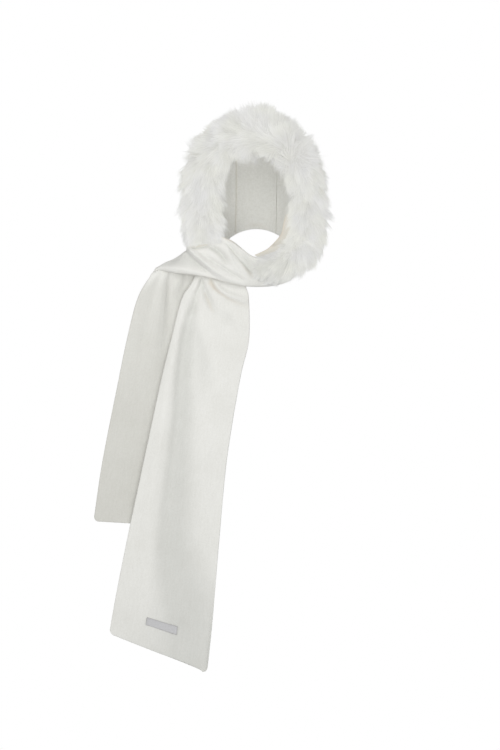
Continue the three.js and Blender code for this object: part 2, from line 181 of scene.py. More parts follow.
# Folds pressed into a tail's outer face, each a line down the cloth: the row of the tail's
# table, the place across from 0 to 1, the depth (below zero for a valley), and half width
LEFT_FOLDS = [
    # valleys and crests that fan out from the knot
    [[4.2, 0.15, 0, 0.04], [4.5, 0.16, -5, 0.035], [5.24, 0.187, -6, 0.035],
     [5.9, 0.21, -5, 0.04], [6.3, 0.215, -3, 0.045], [6.5, 0.22, 0, 0.05]],
    [[4.2, 0.14, 0, 0.04], [4.5, 0.18, -5, 0.045], [5.11, 0.263, -8, 0.05],
     [5.97, 0.39, -7, 0.055], [6.19, 0.453, -5, 0.06], [6.32, 0.503, -3, 0.06],
     [6.5, 0.56, 0, 0.06]],
    [[4.1, 0.29, 0, 0.04], [4.36, 0.32, -3, 0.04], [4.99, 0.4, -4, 0.045],
     [5.6, 0.49, -3, 0.055], [5.95, 0.6, -1.5, 0.08], [6.12, 0.75, -1, 0.12],
     [6.24, 0.9, -1, 0.14], [6.5, 1.25, 0, 0.14]],
    [[4.1, 0.38, 0, 0.05], [4.36, 0.42, 4, 0.05], [4.99, 0.5, 6, 0.06], [5.5, 0.6, 6, 0.08],
     [5.8, 0.72, 6, 0.12], [5.95, 0.85, 6, 0.14], [6.08, 1, 4, 0.14], [6.2, 1.1, 0, 0.14]],
    # the long trough down to the hem
    [[5.9, 0.185, 0, 0.06], [6.3, 0.19, -7, 0.08], [6.8, 0.193, -9, 0.096],
     [7.1, 0.208, -9, 0.102], [8, 0.28, -9, 0.108], [8.5, 0.37, -9, 0.129],
     [9, 0.428, -9, 0.15], [9.5, 0.475, -9, 0.178], [10.1, 0.54, -9, 0.207],
     [10.4, 0.61, -9, 0.26], [10.7, 0.72, -9, 0.34], [11.1, 0.8, -9, 0.42],
     [12.1, 0.85, -9, 0.5]],
    # a valley and a ridge between it and the left edge
    [[6.3, 0.14, 0, 0.04], [6.8, 0.14, -3, 0.04], [8, 0.215, -3, 0.04], [8.5, 0.29, -3, 0.045],
     [9, 0.33, -3, 0.045], [9.5, 0.355, -3, 0.05], [10.1, 0.39, -3, 0.06], [10.8, 0.43, 0, 0.07]],
    [[4.2, 0.08, 0, 0.05], [4.5, 0.09, 2, 0.05], [6.2, 0.1, 3, 0.06], [6.6, 0.08, 3.5, 0.06],
     [7.1, 0.08, 4, 0.06], [8, 0.1, 4, 0.07], [8.5, 0.14, 4, 0.08], [9, 0.16, 4, 0.08],
     [9.5, 0.18, 4, 0.09], [10.1, 0.23, 3, 0.09], [10.9, 0.3, 2, 0.1], [12, 0.3, 0, 0.12]],
    # slack dents, the last one by the hem
    [[6.3, 0.62, 0, 0.08], [6.5, 0.7, -3, 0.08], [6.8, 0.8, 0, 0.1]],
    [[6.7, 0.3, 0, 0.05], [7, 0.36, -3, 0.06], [7.8, 0.52, -4, 0.08], [8.4, 0.6, 0, 0.1]],
    [[10, 0.43, 0, 0.06], [10.6, 0.5, -3, 0.07], [11, 0.6, -3, 0.08], [11.5, 0.7, -4, 0.09],
     [12, 0.75, -3, 0.1]],
]
RIGHT_FOLDS = [
    # the roll over the crossing, with its valleys, and the foot of the fur
    [[5.4, 0.99, 0, 0.04], [5.74, 0.93, -2, 0.045], [6.05, 0.83, -5, 0.05],
     [6.34, 0.735, -5, 0.05], [6.7, 0.58, -5, 0.05], [6.97, 0.45, -5, 0.05],
     [7.2, 0.35, -5, 0.05], [7.5, 0.2, -4, 0.05], [7.7, 0.05, 0, 0.05]],
    [[4.4, 0.93, 0, 0.06], [4.9, 0.925, 2, 0.06], [5.29, 0.875, 3, 0.07], [5.67, 0.79, 5, 0.07],
     [6.08, 0.65, 7, 0.07], [6.67, 0.45, 7, 0.07], [7, 0.3, 6, 0.07], [7.3, 0.15, 5, 0.07],
     [7.5, 0.02, 0, 0.07]],
    [[4.4, 0.83, 0, 0.05], [4.62, 0.82, -3, 0.05], [5.02, 0.765, -5, 0.055],
     [5.41, 0.675, -6, 0.06], [5.76, 0.61, -5, 0.06], [6.1, 0.53, -4, 0.06], [6.5, 0.4, 0, 0.06]],
    [[5.2, 0.08, 0, 0.05], [5.4, 0.11, -3, 0.05], [5.95, 0.2, -5, 0.05],
     [6.3, 0.285, -6, 0.05], [6.7, 0.285, -6, 0.05], [6.95, 0.25, -5, 0.06],
     [7.1, 0.22, 0, 0.06]],
    [[3.9, 0.6, 0, 0.08], [4.21, 0.477, -4, 0.08], [4.38, 0.38, -5, 0.08],
     [4.65, 0.31, -6, 0.075], [4.95, 0.217, -6, 0.07], [5.08, 0.157, -4, 0.06],
     [5.3, 0.08, 0, 0.06]],
    [[4.5, 0.72, 0, 0.1], [4.75, 0.623, 3, 0.1], [4.97, 0.487, 4, 0.1], [5.09, 0.36, 4, 0.08],
     [5.3, 0.22, 0, 0.08]],
    [[4, 0.03, 0, 0.06], [4.3, 0.07, 4, 0.06], [4.7, 0.1, 5, 0.06], [5, 0.08, 4, 0.05],
     [5.3, 0.05, 0, 0.05]],
    [[5.9, 0.87, 0, 0.08], [6.12, 0.82, -5, 0.09], [6.44, 0.72, -8, 0.13],
     [6.84, 0.6, -9, 0.18], [7.21, 0.55, -9, 0.24], [7.6, 0.5, -8, 0.3], [8.1, 0.45, 0, 0.3]],
    [[5.9, 0.94, 0, 0.05], [6.35, 0.91, 2, 0.07], [6.8, 0.87, 2.5, 0.08], [7.24, 0.87, 2.5, 0.09],
     [7.53, 0.9, 2, 0.1], [8, 0.93, 0, 0.1]],
    # folds of the stretch behind the left tail
    [[8.7, 0.59, 0, 0.04], [8.95, 0.6, -5, 0.04], [9.28, 0.62, -6, 0.04], [10, 0.6, -6, 0.045],
     [10.6, 0.61, -5, 0.05], [12, 0.62, 0, 0.06]],
    [[9.1, 0.26, 0, 0.04], [9.3, 0.297, -5, 0.04], [9.5, 0.34, -5, 0.045], [9.8, 0.43, -3, 0.05],
     [10.2, 0.47, 0, 0.05]],
    [[9, 0.72, 2, 0.07], [10, 0.74, 5, 0.08], [10.75, 0.78, 6, 0.08], [12, 0.78, 3, 0.1],
     [13, 0.7, 0, 0.12]],
    [[9.3, 0.49, 2, 0.05], [10, 0.5, 4, 0.05], [10.8, 0.5, 0, 0.06]],
]

# Creases that run across a tail: place across, row, depth, and half width in rows
RIGHT_CREASES = [
    [[0.2, 5.95, 0, 0.3], [0.313, 5.68, -9, 0.28], [0.393, 5.45, -10, 0.2],
     [0.483, 5.31, -10, 0.14], [0.56, 5.25, -6, 0.13], [0.66, 5.2, 0, 0.12]],
    [[0.08, 4.35, 0, 0.3], [0.22, 4.22, -8, 0.3], [0.42, 4.1, -9, 0.28],
     [0.63, 4.05, -5, 0.22], [0.75, 4, 0, 0.2]],
]

# Painted warm shade along lines where the cloth turns over thinly: row, place across, strength, half
# width
LEFT_WARM_SHADE = [
    [[4.2, 0.33, 0.4, 0.04], [4.72, 0.375, 1.3, 0.05], [5.19, 0.46, 1.3, 0.04],
     [5.62, 0.55, 1.1, 0.03], [5.9, 0.665, 0.8, 0.035], [6.06, 0.783, 0.5, 0.06],
     [6.17, 0.903, 0.3, 0.08], [6.3, 1.05, 0, 0.1]],
    [[5.5, 0.28, 0, 0.02], [5.7, 0.32, 0.5, 0.02], [6.04, 0.397, 0.6, 0.025],
     [6.25, 0.457, 0.5, 0.025], [6.4, 0.51, 0, 0.03]],
]
RIGHT_WARM_SHADE = [
    [[5.9, 0.2, 0, 0.02], [6.1, 0.24, 0.8, 0.02], [6.63, 0.27, 0.8, 0.02],
     [6.9, 0.25, 0.6, 0.025], [7, 0.25, 0, 0.03]],
    [[3.8, 0, 0.5, 0.03], [4.38, 0.03, 0.6, 0.025], [4.73, 0.035, 0.6, 0.025],
     [5.03, 0.03, 0.9, 0.035], [5.3, 0, 0.9, 0.05], [5.7, 0, 0.9, 0.05], [6.2, 0, 0, 0.04]],
    [[3.95, 0.68, 0, 0.04], [4.07, 0.623, 0.5, 0.05], [4.29, 0.527, 0.55, 0.05],
     [4.48, 0.477, 0.45, 0.05], [4.8, 0.4, 0, 0.05]],
    [[4.4, 0.99, 0.4, 0.012], [5.49, 0.985, 0.5, 0.012], [6.6, 0.99, 0.3, 0.012],
     [7.2, 0.99, 0, 0.012]],
]

# Label, a strip sewn across the left tail, parallel to the hem
LABEL_ACROSS = (0.34, 0.657)       # places across the tail of its two ends
LABEL_PLACE = (11.2, 11.385)       # rows of its upper and its lower edge
LABEL_TILT = 0.03          # how many rows lower its right end sits
LABEL_THICK = 0.8
LABEL_GAP = 0.5            # clear space below the tape
LABEL_END_LIFT = 1.1       # how far its two ends stand off
LABEL_ARCH = 0.5           # how far its long edges stand off

# Strip beside the neck hole: its edge that shows (x, y, z), and where the fur's backing
# takes up its other edge, as shares along the roll and the turn round it
THROAT_EDGE = [
    [57, -66, -190],
    [53, -73, -206],
    [49, -80, -225],
    [38, -87, -240],
    [20, -95, -257],
    [-5, -101, -269],
]
THROAT_THICK = 2.0
THROAT_GAP = 0.8
THROAT_START = 0.69
THROAT_SPAN = 0.26
THROAT_TURN = 3.1
THROAT_OVER = 0.05         # how far beyond the backing its other edge is sewn on
THROAT_SHADE = 0.9         # how much the strip lies in shade
THROAT_WARM_SHADE = (0.7, 0.9)   # painted warm shade all over it, and what its seen edge adds to that

# Backing of the fur, whose radius is a share of the roll's. Turn runs round the roll: 0
# looks outwards from the face opening, pi / 2 to the front and pi inwards.
BACKING_THICK = 4.0
BACKING_GAP = 1.0
BACKING_LOOKS = 26.0       # how far off the tails are still looked at
BACKING_REACH = 0.49
BACKING_START = 0.05       # where it starts along the roll, and how much of it it covers
BACKING_SPAN = 0.88
BACKING_FROM = -1.45       # turn of its outer edge, and of its inner one
BACKING_TO = 3.3

# Fur
HAIR_SEED = 11
LOCKS = 2000
HAIRS_IN_LOCK = 20
HAIR_PIECES = 5
LOCK_START = 0.045         # where the first locks stand along the roll
LOCK_TURN_FROM = -1.25
LOCK_TURN_SPAN = 4.6
LOCK_SPREAD = 4.5          # how far a lock's hairs stand from its middle
LOCK_SWAY = 0.26           # how much locks sway apart, and the hairs within one
HAIR_SWAY = 0.16
LOCK_SIZES = (0.85, 1.12)  # lengths of the locks, as shares, and of the hairs within one
HAIR_SIZES = (0.65, 1.08)
HAIR_WIDTHS = (0.8, 1.25)
STANDING_LOCKS = 0.2       # the share of locks that stand up, and by how much
STANDING_LIFT = -0.36
LIFT_SPREAD = 0.08
FUR_ROOT = 0.53            # where hairs start, as a share of the roll's radius
FUR_REACH = 22.0           # how far off the cloth is still looked at
ROLL_LENGTH = 700.0
HAIR_STEPS = 3
HAIR_LENGTH = 38.0
FRONT_LONGER = 0.3         # how much longer or shorter hair is there, as a share
INSIDE_SHORTER = 0.08
CROWN_SHORTER = 0.5
DROOP_LONGER = 0.4         # over the forehead, where it also droops
DROOP_LEANS = 0.45
DROOP_AT = 2               # x of the droop's middle
SHOULDER_SHORTER = 0.3
SHOULDER_AT = 66           # distance of the crown's shoulders from the middle, in x
DROOP_HALF = 34            # half width of the droop and of each shoulder
THROAT_SHORTER = 0.25
HAIR_HALF_WIDTH = 0.62
HAIR_TAPER = [1.0, 0.92, 0.62]     # its width at each ring of corners
HAIR_OWN_SHADING = 0.52    # share of a needle's own roundness in its shading
HAIR_LEANS = (0.85, 1.42)  # how far a hair leans from the way out, at its root and its tip
HAIR_GATHER = 0.66         # how far a hair closes up to its lock's tip, and a loose one
LOOSE_GATHER = 0.1
LOOSE_ABOVE = 0.82         # the share of hairs that aren't loose
HAIR_FRONT = -150.0        # hair in front of this y is pressed back,
HAIR_PRESSED_BACK = 0.4    # by this share of how far it stands out
HAIR_PARTING = 2.3         # turn at which the hair parts inwards and outwards
INNER_TURNS = (HAIR_PARTING - 0.5, HAIR_PARTING + 0.3)   # where it becomes inner hair
LOW_END = (0.06, 0.2)      # shares along the roll: the end that hangs on the left
CHIN = (0.80, 0.90)        # and the strip under the chin
CROWN_COMB = (-110, -35)   # heights over which the hair is combed as on the crown
CROWN_SHORT = (-100, -40)  # and over which it is as short as there
WHORL_AT = (0.545, 2.0)    # share along the roll and turn of the whorl, and half sizes
WHORL_HALF = (0.045, 0.7)


# Shapes

def unit(vectors):
    """Vectors brought to length one."""
    return vectors / np.maximum(np.linalg.norm(vectors, axis=-1, keepdims=True), 1e-9)


def ramp(value, low, high):
    """0 below low, 1 above high, and the smooth curve 3t^2 - 2t^3 between them."""
    share = np.clip((value - low) / (high - low), 0, 1)
    return share * share * (3 - 2 * share)


def smooth_table(rows):
    """A table joined by smooth curves, with the row number as the parameter.

    Between two rows runs the cubic whose slope at each row is half the difference of that
    row's neighbours. Past each end stands one more row, in line with the last two.
    """
    table = np.array(rows, float)
    last = len(table) - 1
    padded = np.vstack([2 * table[0] - table[1], table, 2 * table[-1] - table[-2]])

    def at(place):
        place = np.clip(np.asarray(place, float), 0, last)
        low = np.minimum(place.astype(int), last - 1)
        t = (place - low)[..., None]
        before, here, after, beyond = (padded[low + step] for step in range(4))
        return (here + 0.5 * t * (after - before)
                + t * t * (before - 2.5 * here + 2 * after - 0.5 * beyond)
                + t ** 3 * (1.5 * here - 1.5 * after + 0.5 * (beyond - before)))

    return at


def fold_height(folds, place, across):
    """Height of all folds at a place: depth times exp(-((across - centre) / half)^2) each.

    A fold's centre, depth and half width run in straight lines from row to row.
    """
    total = np.zeros(np.broadcast(place, across).shape)
    for rows in folds:
        keys, centre, depth, half = np.array(rows, float).T
        inside = (place > keys[0]) & (place < keys[-1])
        reach = (across - np.interp(place, keys, centre)) / np.interp(place, keys, half)
        total = total + inside * np.interp(place, keys, depth) * np.exp(-reach ** 2)
    return total


def round_edge(distance, radius):
    """Share of the full thickness at a distance from a rolled edge: a half circle."""
    near = 1 - np.clip(distance / radius, 0, 1)
    return np.sqrt(np.maximum(0, 1 - near ** 2))


def edge_steps():
    """Shares of a rolled edge's depth, even round its curve."""
    return 1 - np.cos(np.arange(RIM_STEPS) / RIM_STEPS * math.pi / 2)


def edge_spaced(count, rim_share):
    """Shares from 0 to 1, even in the middle and close together in the rolled edges."""
    rim = rim_share * edge_steps()
    return np.concatenate([rim, np.linspace(rim_share, 1 - rim_share, count), 1 - rim[::-1]])


def lengths_along(points, axis):
    """Distance walked along a grid's rows or columns, from its first one."""
    steps = np.linalg.norm(np.diff(points, axis=axis), axis=-1)
    start = np.zeros_like(np.take(steps, [0], axis=axis))
    return np.concatenate([start, np.cumsum(steps, axis=axis)], axis=axis)


def measured(points):
    """A grid's distances down and right, the distance to its nearest rim, and its UV pair."""
    down = lengths_along(points, 0)
    right = lengths_along(points, 1)
    rim = np.minimum(np.minimum(down, down[-1:] - down), np.minimum(right, right[:, -1:] - right))
    return down, right, rim, np.stack([right, down], axis=-1)


def grid_squares(points):
    """Vectors square to a grid and as long as its cells are large."""
    return np.cross(np.gradient(points, axis=0), np.gradient(points, axis=1))


def grid_normals(points):
    """Directions square to a grid, from the differences of neighbouring points."""
    return unit(grid_squares(points))


def keep_off(points, surface, normals, clearance, reach):
    """Lifts points clear of a piece.

    A point whose nearest surface sample is within reach, and which stands less than the
    clearance above it along that sample's normal, moves along the normal up to it.
    """
    moved = points.reshape(-1, 3).copy()
    surface = surface.reshape(-1, 3)
    normals = normals.reshape(-1, 3)
    near = ((moved > surface.min(0) - reach) & (moved < surface.max(0) + reach)).all(1)
    chosen = np.flatnonzero(near)
    squares = (surface ** 2).sum(1)
    for chunk in np.array_split(chosen, max(1, len(chosen) // CHUNK)):
        if not len(chunk):
            continue
        here = moved[chunk]
        away = squares - 2 * here @ surface.T
        nearest = away.argmin(1)
        offset = here - surface[nearest]
        height = (offset * normals[nearest]).sum(1)
        lift = np.clip(clearance - height, 0, None)
        lift[np.linalg.norm(offset, axis=1) > reach] = 0
        moved[chunk] = here + normals[nearest] * lift[:, None]
    return moved.reshape(points.shape)


# Meshes

def grid_quads(index):
    """Four-sided faces over a grid of vertex numbers."""
    corners = [index[:-1, :-1], index[1:, :-1], index[1:, 1:], index[:-1, 1:]]
    return np.stack(corners, axis=-1).reshape(-1, 4)


def signed_volume(points, quads):
    """Volume inside closed faces, below zero where they face inwards."""
    a, b, c, d = (points[quads[:, corner]] for corner in range(4))
    return (np.cross(a, b) * c + np.cross(a, c) * d).sum() / 6


def mesh_piece(name, points, quads, triangles=None, uv=None, uv_name="Cloth", fields=None):
    """A smooth mesh object from millimetre points, faces, a UV pair and fields per vertex."""
    mesh = bpy.data.meshes.new(name)
    mesh.vertices.add(len(points))
    mesh.vertices.foreach_set("co", (points * MM).astype(np.float32).ravel())
    triangles = np.zeros((0, 3), int) if triangles is None else triangles
    corners = np.concatenate([quads.ravel(), triangles.ravel()])
    starts = np.concatenate([np.arange(len(quads)) * 4,
                             len(quads) * 4 + np.arange(len(triangles)) * 3])
    mesh.loops.add(len(corners))
    mesh.loops.foreach_set("vertex_index", corners.astype(np.int32))
    mesh.polygons.add(len(starts))
    mesh.polygons.foreach_set("loop_start", starts.astype(np.int32))
    mesh.update(calc_edges=True)
    mesh.polygons.foreach_set("use_smooth", np.ones(len(starts), bool))
    if uv is not None:
        layer = mesh.uv_layers.new(name=uv_name)
        layer.uv.foreach_set("vector", uv[corners].astype(np.float32).ravel())
    for field, values in (fields or {}).items():
        attribute = mesh.attributes.new(field, "FLOAT", "POINT")
        attribute.data.foreach_set("value", values.astype(np.float32).ravel())
    mesh.validate()
    piece = bpy.data.objects.new(name, mesh)
    bpy.context.scene.collection.objects.link(piece)
    return piece


def closed_sheet(name, outer, inner, uv, fields):
    """A closed wall of two grids that meet along their rims, with its faces outwards."""
    rows, columns = outer.shape[:2]
    front = np.arange(rows * columns).reshape(rows, columns)
    back = front.copy()
    inside = np.arange((rows - 2) * (columns - 2)).reshape(rows - 2, columns - 2)
    back[1:-1, 1:-1] = rows * columns + inside

    def both(field):
        flat = field.shape[2:] or (1,)
        field = field.reshape(rows, columns, *flat)
        return np.concatenate([field.reshape(-1, *flat), field[1:-1, 1:-1].reshape(-1, *flat)])

    points = np.concatenate([outer.reshape(-1, 3), inner[1:-1, 1:-1].reshape(-1, 3)])
    quads = np.concatenate([grid_quads(front), grid_quads(back)[:, ::-1]])
    if signed_volume(points, quads) < 0:
        quads = quads[:, ::-1]
    return mesh_piece(name, points, quads, uv=both(uv) * MM,
                      fields={field: both(values) for field, values in fields.items()})


def even_sheet(name, middle, out, thick, rim, uv, fields):
    """A sheet of one thickness on both sides of a middle grid, with rolled edges."""
    half = out * (thick / 2 * round_edge(rim, thick / 2))[..., None]
    return closed_sheet(name, middle + half, middle - half, uv, fields)


# Hood

rib_at = smooth_table(HOOD_RIBS)


def hood_rib(back):
    """The rib's named values at back, which runs from 0 at the face edge to 1 at the nape."""
    names = ["top_y", "top_z", "foot_x", "foot_y", "foot_z", "wide", "widest", "climb"]
    row = rib_at(np.asarray(back) * (len(HOOD_RIBS) - 1))
    return {name: row[..., index] for index, name in enumerate(names)}


def hood_point(back, up, side):
    """Inner face of the hood. up runs from 0 at a rib's foot to 1 at its top.

    Below its widest place the half width is wide - (wide - foot_x) * below^2. Above it,
    it is wide * (1 - above^round)^(1/round), a rounded arch that closes on the centre line.
    """
    rib = hood_rib(back)
    below = np.maximum(0, (rib["widest"] - up) / rib["widest"])
    above = np.clip((up - rib["widest"]) / (1 - rib["widest"]), 0, 1)
    arch = (1 - above ** RIB_ROUND) ** (1 / RIB_ROUND)
    low = rib["wide"] - (rib["wide"] - rib["foot_x"]) * below ** 2
    x = np.where(up < rib["widest"], low, rib["wide"] * arch)
    y = rib["foot_y"] + (rib["top_y"] - rib["foot_y"]) * up
    z = rib["foot_z"] + (rib["top_z"] - rib["foot_z"]) * np.maximum(up, 0) ** rib["climb"]
    return np.stack(np.broadcast_arrays(side * x, y, z), axis=-1)


def up_at_width(back, half_width):
    """Height up a rib at which it has a given half width, above its widest place."""
    rib = hood_rib(back)
    share = (1 - (half_width / rib["wide"]) ** RIB_ROUND) ** (1 / RIB_ROUND)
    return rib["widest"] + (1 - rib["widest"]) * share


def side_panel(side):
    """A side panel, from the neck edge, share 0, up to the centre panel's seam, share 1."""
    def at(back, share):
        return hood_point(back, up_at_width(back, CENTRE_HALF + PANEL_SEAM / 2) * share, side)
    return at


def centre_panel(back, share):
    """The centre panel, from its left seam, share 0, over the crown to the right one."""
    x = (CENTRE_HALF - PANEL_SEAM / 2) * (2 * share - 1)
    return hood_point(back, up_at_width(back, np.abs(x)), np.where(x < 0, -1, 1))


def hood_slack(points, back):
    """How far the soft cloth sinks or stands, in millimetres.

    Two long soft folds run from the crown down to the nape, a few short gathers fan up
    from the neck edge, and faint dimples lie all over. Each is a sine of place, and the
    folds and gathers fade towards the face edge.
    """
    x, y, z = np.moveaxis(points, -1, 0)
    behind = ramp(back, 0.3, 0.8)
    swing = np.arctan2(x, y + 40)
    long_folds = 1.6 * np.sin(swing * 5.2 + z * 0.012 + 0.6) * behind
    gathers = 1.5 * np.sin(swing * 15 + z * 0.03) * ramp(-z, 150, 225) * behind
    dimples = 0.7 * np.sin(x * 0.061 + 1.3) * np.sin(y * 0.049 - 0.4) * np.sin(z * 0.055)
    return long_folds + gathers + dimples


def hood_panel(name, point_at, columns, width, seamed_twice):
    """One panel: the inner face, and the outer face square to it, with rolled edges.

    Its last column lies at a seam, and so does its first one if it is seamed twice.
    The nape hem is turned up and a little thicker, with a shallow sewn line above it.
    Painted warm shade lies along the seams and the sewn line, and painted shade darkens a
    round patch at the hood's back, on both faces, that fades out.
    """
    back = edge_spaced(HOOD_ROWS, HOOD_EDGE / HOOD_LENGTH)[:, None]
    share = edge_spaced(columns, HOOD_EDGE / width)[None, :]
    back, share = np.broadcast_arrays(back, share)
    middle = point_at(back, share)
    normals = grid_normals(middle)
    facing = np.sign((normals * (middle - HOOD_CENTRE)).sum(-1, keepdims=True))
    normals = normals * np.where(facing == 0, 1, facing)
    middle = middle + normals * (HOOD_WALL / 2 + hood_slack(middle, back))[..., None]
    down, right, rim, uv = measured(middle)
    to_nape = down[-1:] - down
    to_seam = right[:, -1:] - right
    if seamed_twice:
        to_seam = np.minimum(to_seam, right)
    hem = 1 - ramp(to_nape, NAPE_HEM - 1, NAPE_HEM + 1)
    sewn = np.exp(-((to_nape - NAPE_HEM + STITCH_INSET) / STITCH_HALF) ** 2)
    pucker = PUCKER_HEIGHT * np.sin(down * 2 * math.pi / PUCKER_WAVE) * np.exp(-to_seam / PUCKER_REACH)
    sink = SEAM_SINK * np.exp(-(to_seam / SEAM_SINK_REACH) ** 2)
    half = HOOD_WALL / 2 + NAPE_HEM_SWELL * hem - STITCH_DEPTH * sewn
    half = half * round_edge(rim, HOOD_EDGE)
    middle = middle + normals * (pucker - sink)[..., None]
    offset = normals * half[..., None]
    x, y, z = np.moveaxis(middle, -1, 0)
    # painted warm shade down in the seams, stronger at the left one, and in the sewn line
    seam_warm_shade = np.where(x < 0, *SEAM_WARM_SHADE)
    seam = np.maximum(seam_warm_shade * np.exp(-to_seam / SEAM_WARM_SHADE_REACH), STITCH_WARM_SHADE * sewn)
    # painted shade: a round patch at the hood's back, on both faces
    sideways = (x - BACK_SHADE_AT[0]) / BACK_SHADE_HALF[0]
    upwards = (z - BACK_SHADE_AT[1]) / BACK_SHADE_HALF[1]
    back_shade = BACK_SHADE * np.exp(-sideways ** 2 - upwards ** 2) * ramp(y, -5, 25)
    piece = closed_sheet(name, middle + offset, middle - offset, uv,
                         {"seam": seam, "painted_shade": back_shade, "napped": np.ones(seam.shape)})
    return piece, (middle + offset)[::2, ::2], normals[::2, ::2]


# Tails

class Tail:
    """A scarf tail: the lines across it, and the folds pressed into it."""

    STEP = 0.02                # for differences, in rows and in shares across

    def __init__(self, rows, folds, creases, warm):
        self.row_at = smooth_table(rows)
        self.last = len(rows) - 1
        self.folds = folds
        self.creases = creases
        self.warm = warm

    def pressed(self, place, across):
        """Height of the folds that run down the tail and of those that run across it."""
        return fold_height(self.folds, place, across) + fold_height(self.creases, across, place)

    def edges(self, place):
        """The left edge, the right edge and how far the middle is bowed out."""
        row = self.row_at(place)
        return row[..., 0:3], row[..., 3:6], row[..., 6:7]

    def centre(self, place):
        start, end = self.edges(place)[:2]
        return (start + end) / 2

    def width(self, place):
        start, end = self.edges(place)[:2]
        return np.linalg.norm(end - start, axis=-1)

    def middle(self, place, across):
        """start + across * (end - start), bowed out by bow * 4 * across * (1 - across)."""
        start, end, bow = self.edges(place)
        along = self.centre(place + self.STEP) - self.centre(place - self.STEP)
        out = unit(np.cross(along, end - start))
        share = across[..., None]
        return start + (end - start) * share + out * bow * 4 * share * (1 - share)

    def out(self, place, across):
        """Direction square to the middle surface, from small differences both ways."""
        step = self.STEP
        along = self.middle(place + step, across) - self.middle(place - step, across)
        left = np.maximum(0, across - step)
        right = np.minimum(1, across + step)
        sideways = self.middle(place, right) - self.middle(place, left)
        return unit(np.cross(along, sideways))

    def full_thickness(self, place):
        """The cloth's section keeps its area as the tail is gathered, up to a limit."""
        piled = np.clip(TAIL_THICK * TAIL_FLAT_WIDTH / self.width(place),
                        TAIL_THICK, TAIL_MAX_THICK)
        return TAIL_THICK + (piled - TAIL_THICK) * ramp(place, 0, SEAM_ROWS)

    def places_by_length(self):
        """Evenly spaced places along the middle line, how far on each is, and the length."""
        dense = np.linspace(0, self.last, 3000)
        walked = lengths_along(self.centre(dense)[None], 1)[0]
        total = walked[-1]
        rim = TAIL_THICK / 2 / total
        wanted = edge_spaced(int(total / ROW_SPACING), rim) * total
        return np.interp(wanted, walked, dense), wanted, total

    def surface(self, wrinkles):
        """Both faces of the tail as grids, with the cloth's own coordinates.

        The faces stand half the thickness off the middle surface. That fades to nothing at
        the rims, and the thicker a gathered stretch is, the more it is crowned. The inner
        face follows the pressed folds less where the cloth is piled up.
        """
        place, walked, total = self.places_by_length()
        place = place[:, None]
        to_hem = (total - walked)[:, None]
        from_seam = walked[:, None]
        width = self.width(place)
        full = self.full_thickness(place)
        gathered = (full - TAIL_THICK) / (TAIL_MAX_THICK - TAIL_THICK)
        rim = full / 2 / width
        low = rim * edge_steps()[None, :]
        body = rim + (1 - 2 * rim) * np.linspace(0, 1, TAIL_COLUMNS)[None, :]
        across = np.concatenate([low, body, 1 - low[:, ::-1]], axis=1)
        corner = np.clip(HEM_CORNER - to_hem, 0, HEM_CORNER)
        inset = (HEM_CORNER - np.sqrt(HEM_CORNER ** 2 - corner ** 2)) / width
        across = inset + across * (1 - 2 * inset)
        place, across = np.broadcast_arrays(place, across)
        from_edge = np.minimum(across - inset, 1 - inset - across) * width
        crowned = 1 - CROWNED * gathered * (1 - np.sqrt(np.maximum(0, 1 - (2 * across - 1) ** 4)))
        thick = full * crowned * round_edge(from_edge, np.maximum(0.3 * full, TAIL_THICK / 2))
        thick = thick * round_edge(to_hem, TAIL_THICK / 2) * round_edge(from_seam, TAIL_THICK / 2)
        pleats = wrinkles(place, across)
        pressed = self.pressed(place, across) + pleats
        follows = np.clip(TAIL_THICK / np.maximum(full, 1), 0, 1)
        middle = self.middle(place, across)
        out = self.out(place, across)
        fade = round_edge(from_edge, FOLD_FADE)
        outer = middle + out * (pressed * fade + thick / 2)[..., None]
        inner_pressed = (pressed - pleats) * follows + pleats
        inner = middle + out * (inner_pressed * fade - thick / 2)[..., None]
        uv = np.stack(np.broadcast_arrays(across * TAIL_FLAT_WIDTH, walked[:, None]), axis=-1)
        # painted warm shade along the long edges and the warm lines, and painted shade down in the
        # folds
        seam = np.exp(-from_edge / 2) * EDGE_WARM_SHADE + fold_height(self.warm, place, across)
        painted_shade = np.clip(-(pressed - pleats) / DEEP_FOLD, 0, 1)
        return {"outer": outer, "inner": inner, "out": out, "uv": uv, "seam": seam,
                "painted_shade": painted_shade, "place": place, "across": across, "length": total}


def meet_rims(outer, inner):
    """The rims of two faces brought together halfway."""
    for rim in (np.s_[0], np.s_[-1], np.s_[:, 0], np.s_[:, -1]):
        halfway = (outer[rim] + inner[rim]) / 2
        outer[rim] = halfway
        inner[rim] = halfway


def neck_gathers(place, across, lean, low, high):
    """Gathers from just below a tail's seam on, which fade between two rows."""
    waves = GATHER_HEIGHT * np.sin(across * GATHER_WAVES + place * lean)
    return waves * (1 - ramp(place, low, high)) * ramp(place, 0, 0.8)


def left_wrinkles(place, across):
    """Gathers in the hidden stretch by the neck, and faint slack lines down the hang."""
    slack = 0.6 * np.sin(across * 9 + place * 0.9) * ramp(place, 6.5, 8)
    return neck_gathers(place, across, 1.1, 2.6, 4.2) + slack


def right_wrinkles(place, across):
    """Gathers by the neck and where the tail folds over, and slack lines down the hang."""
    over = ramp(place, 7.6, 8.6) * (1 - ramp(place, 9.5, 11))
    turned = 0.8 * np.sin(across * 23 - place * 1.7) * over
    slack = 0.6 * np.sin(across * 8 + place * 0.8 + 1) * ramp(place, 11, 12)
    return neck_gathers(place, across, 1.3, 2.8, 3.8) + turned + slack


# Shader maths

class Wire:
    """One output socket, so that shader maths reads as a plain expression."""

    def __init__(self, finish, socket):
        self.finish = finish
        self.socket = socket

    def maths(self, operation, *values):
        return self.finish.node("ShaderNodeMath", {"operation": operation},
                                dict(enumerate(values)))

    def __add__(self, other):
        return self.maths("ADD", self, other)

    def __radd__(self, other):
        return self.maths("ADD", other, self)

    def __sub__(self, other):
        return self.maths("SUBTRACT", self, other)

    def __mul__(self, other):
        return self.maths("MULTIPLY", self, other)


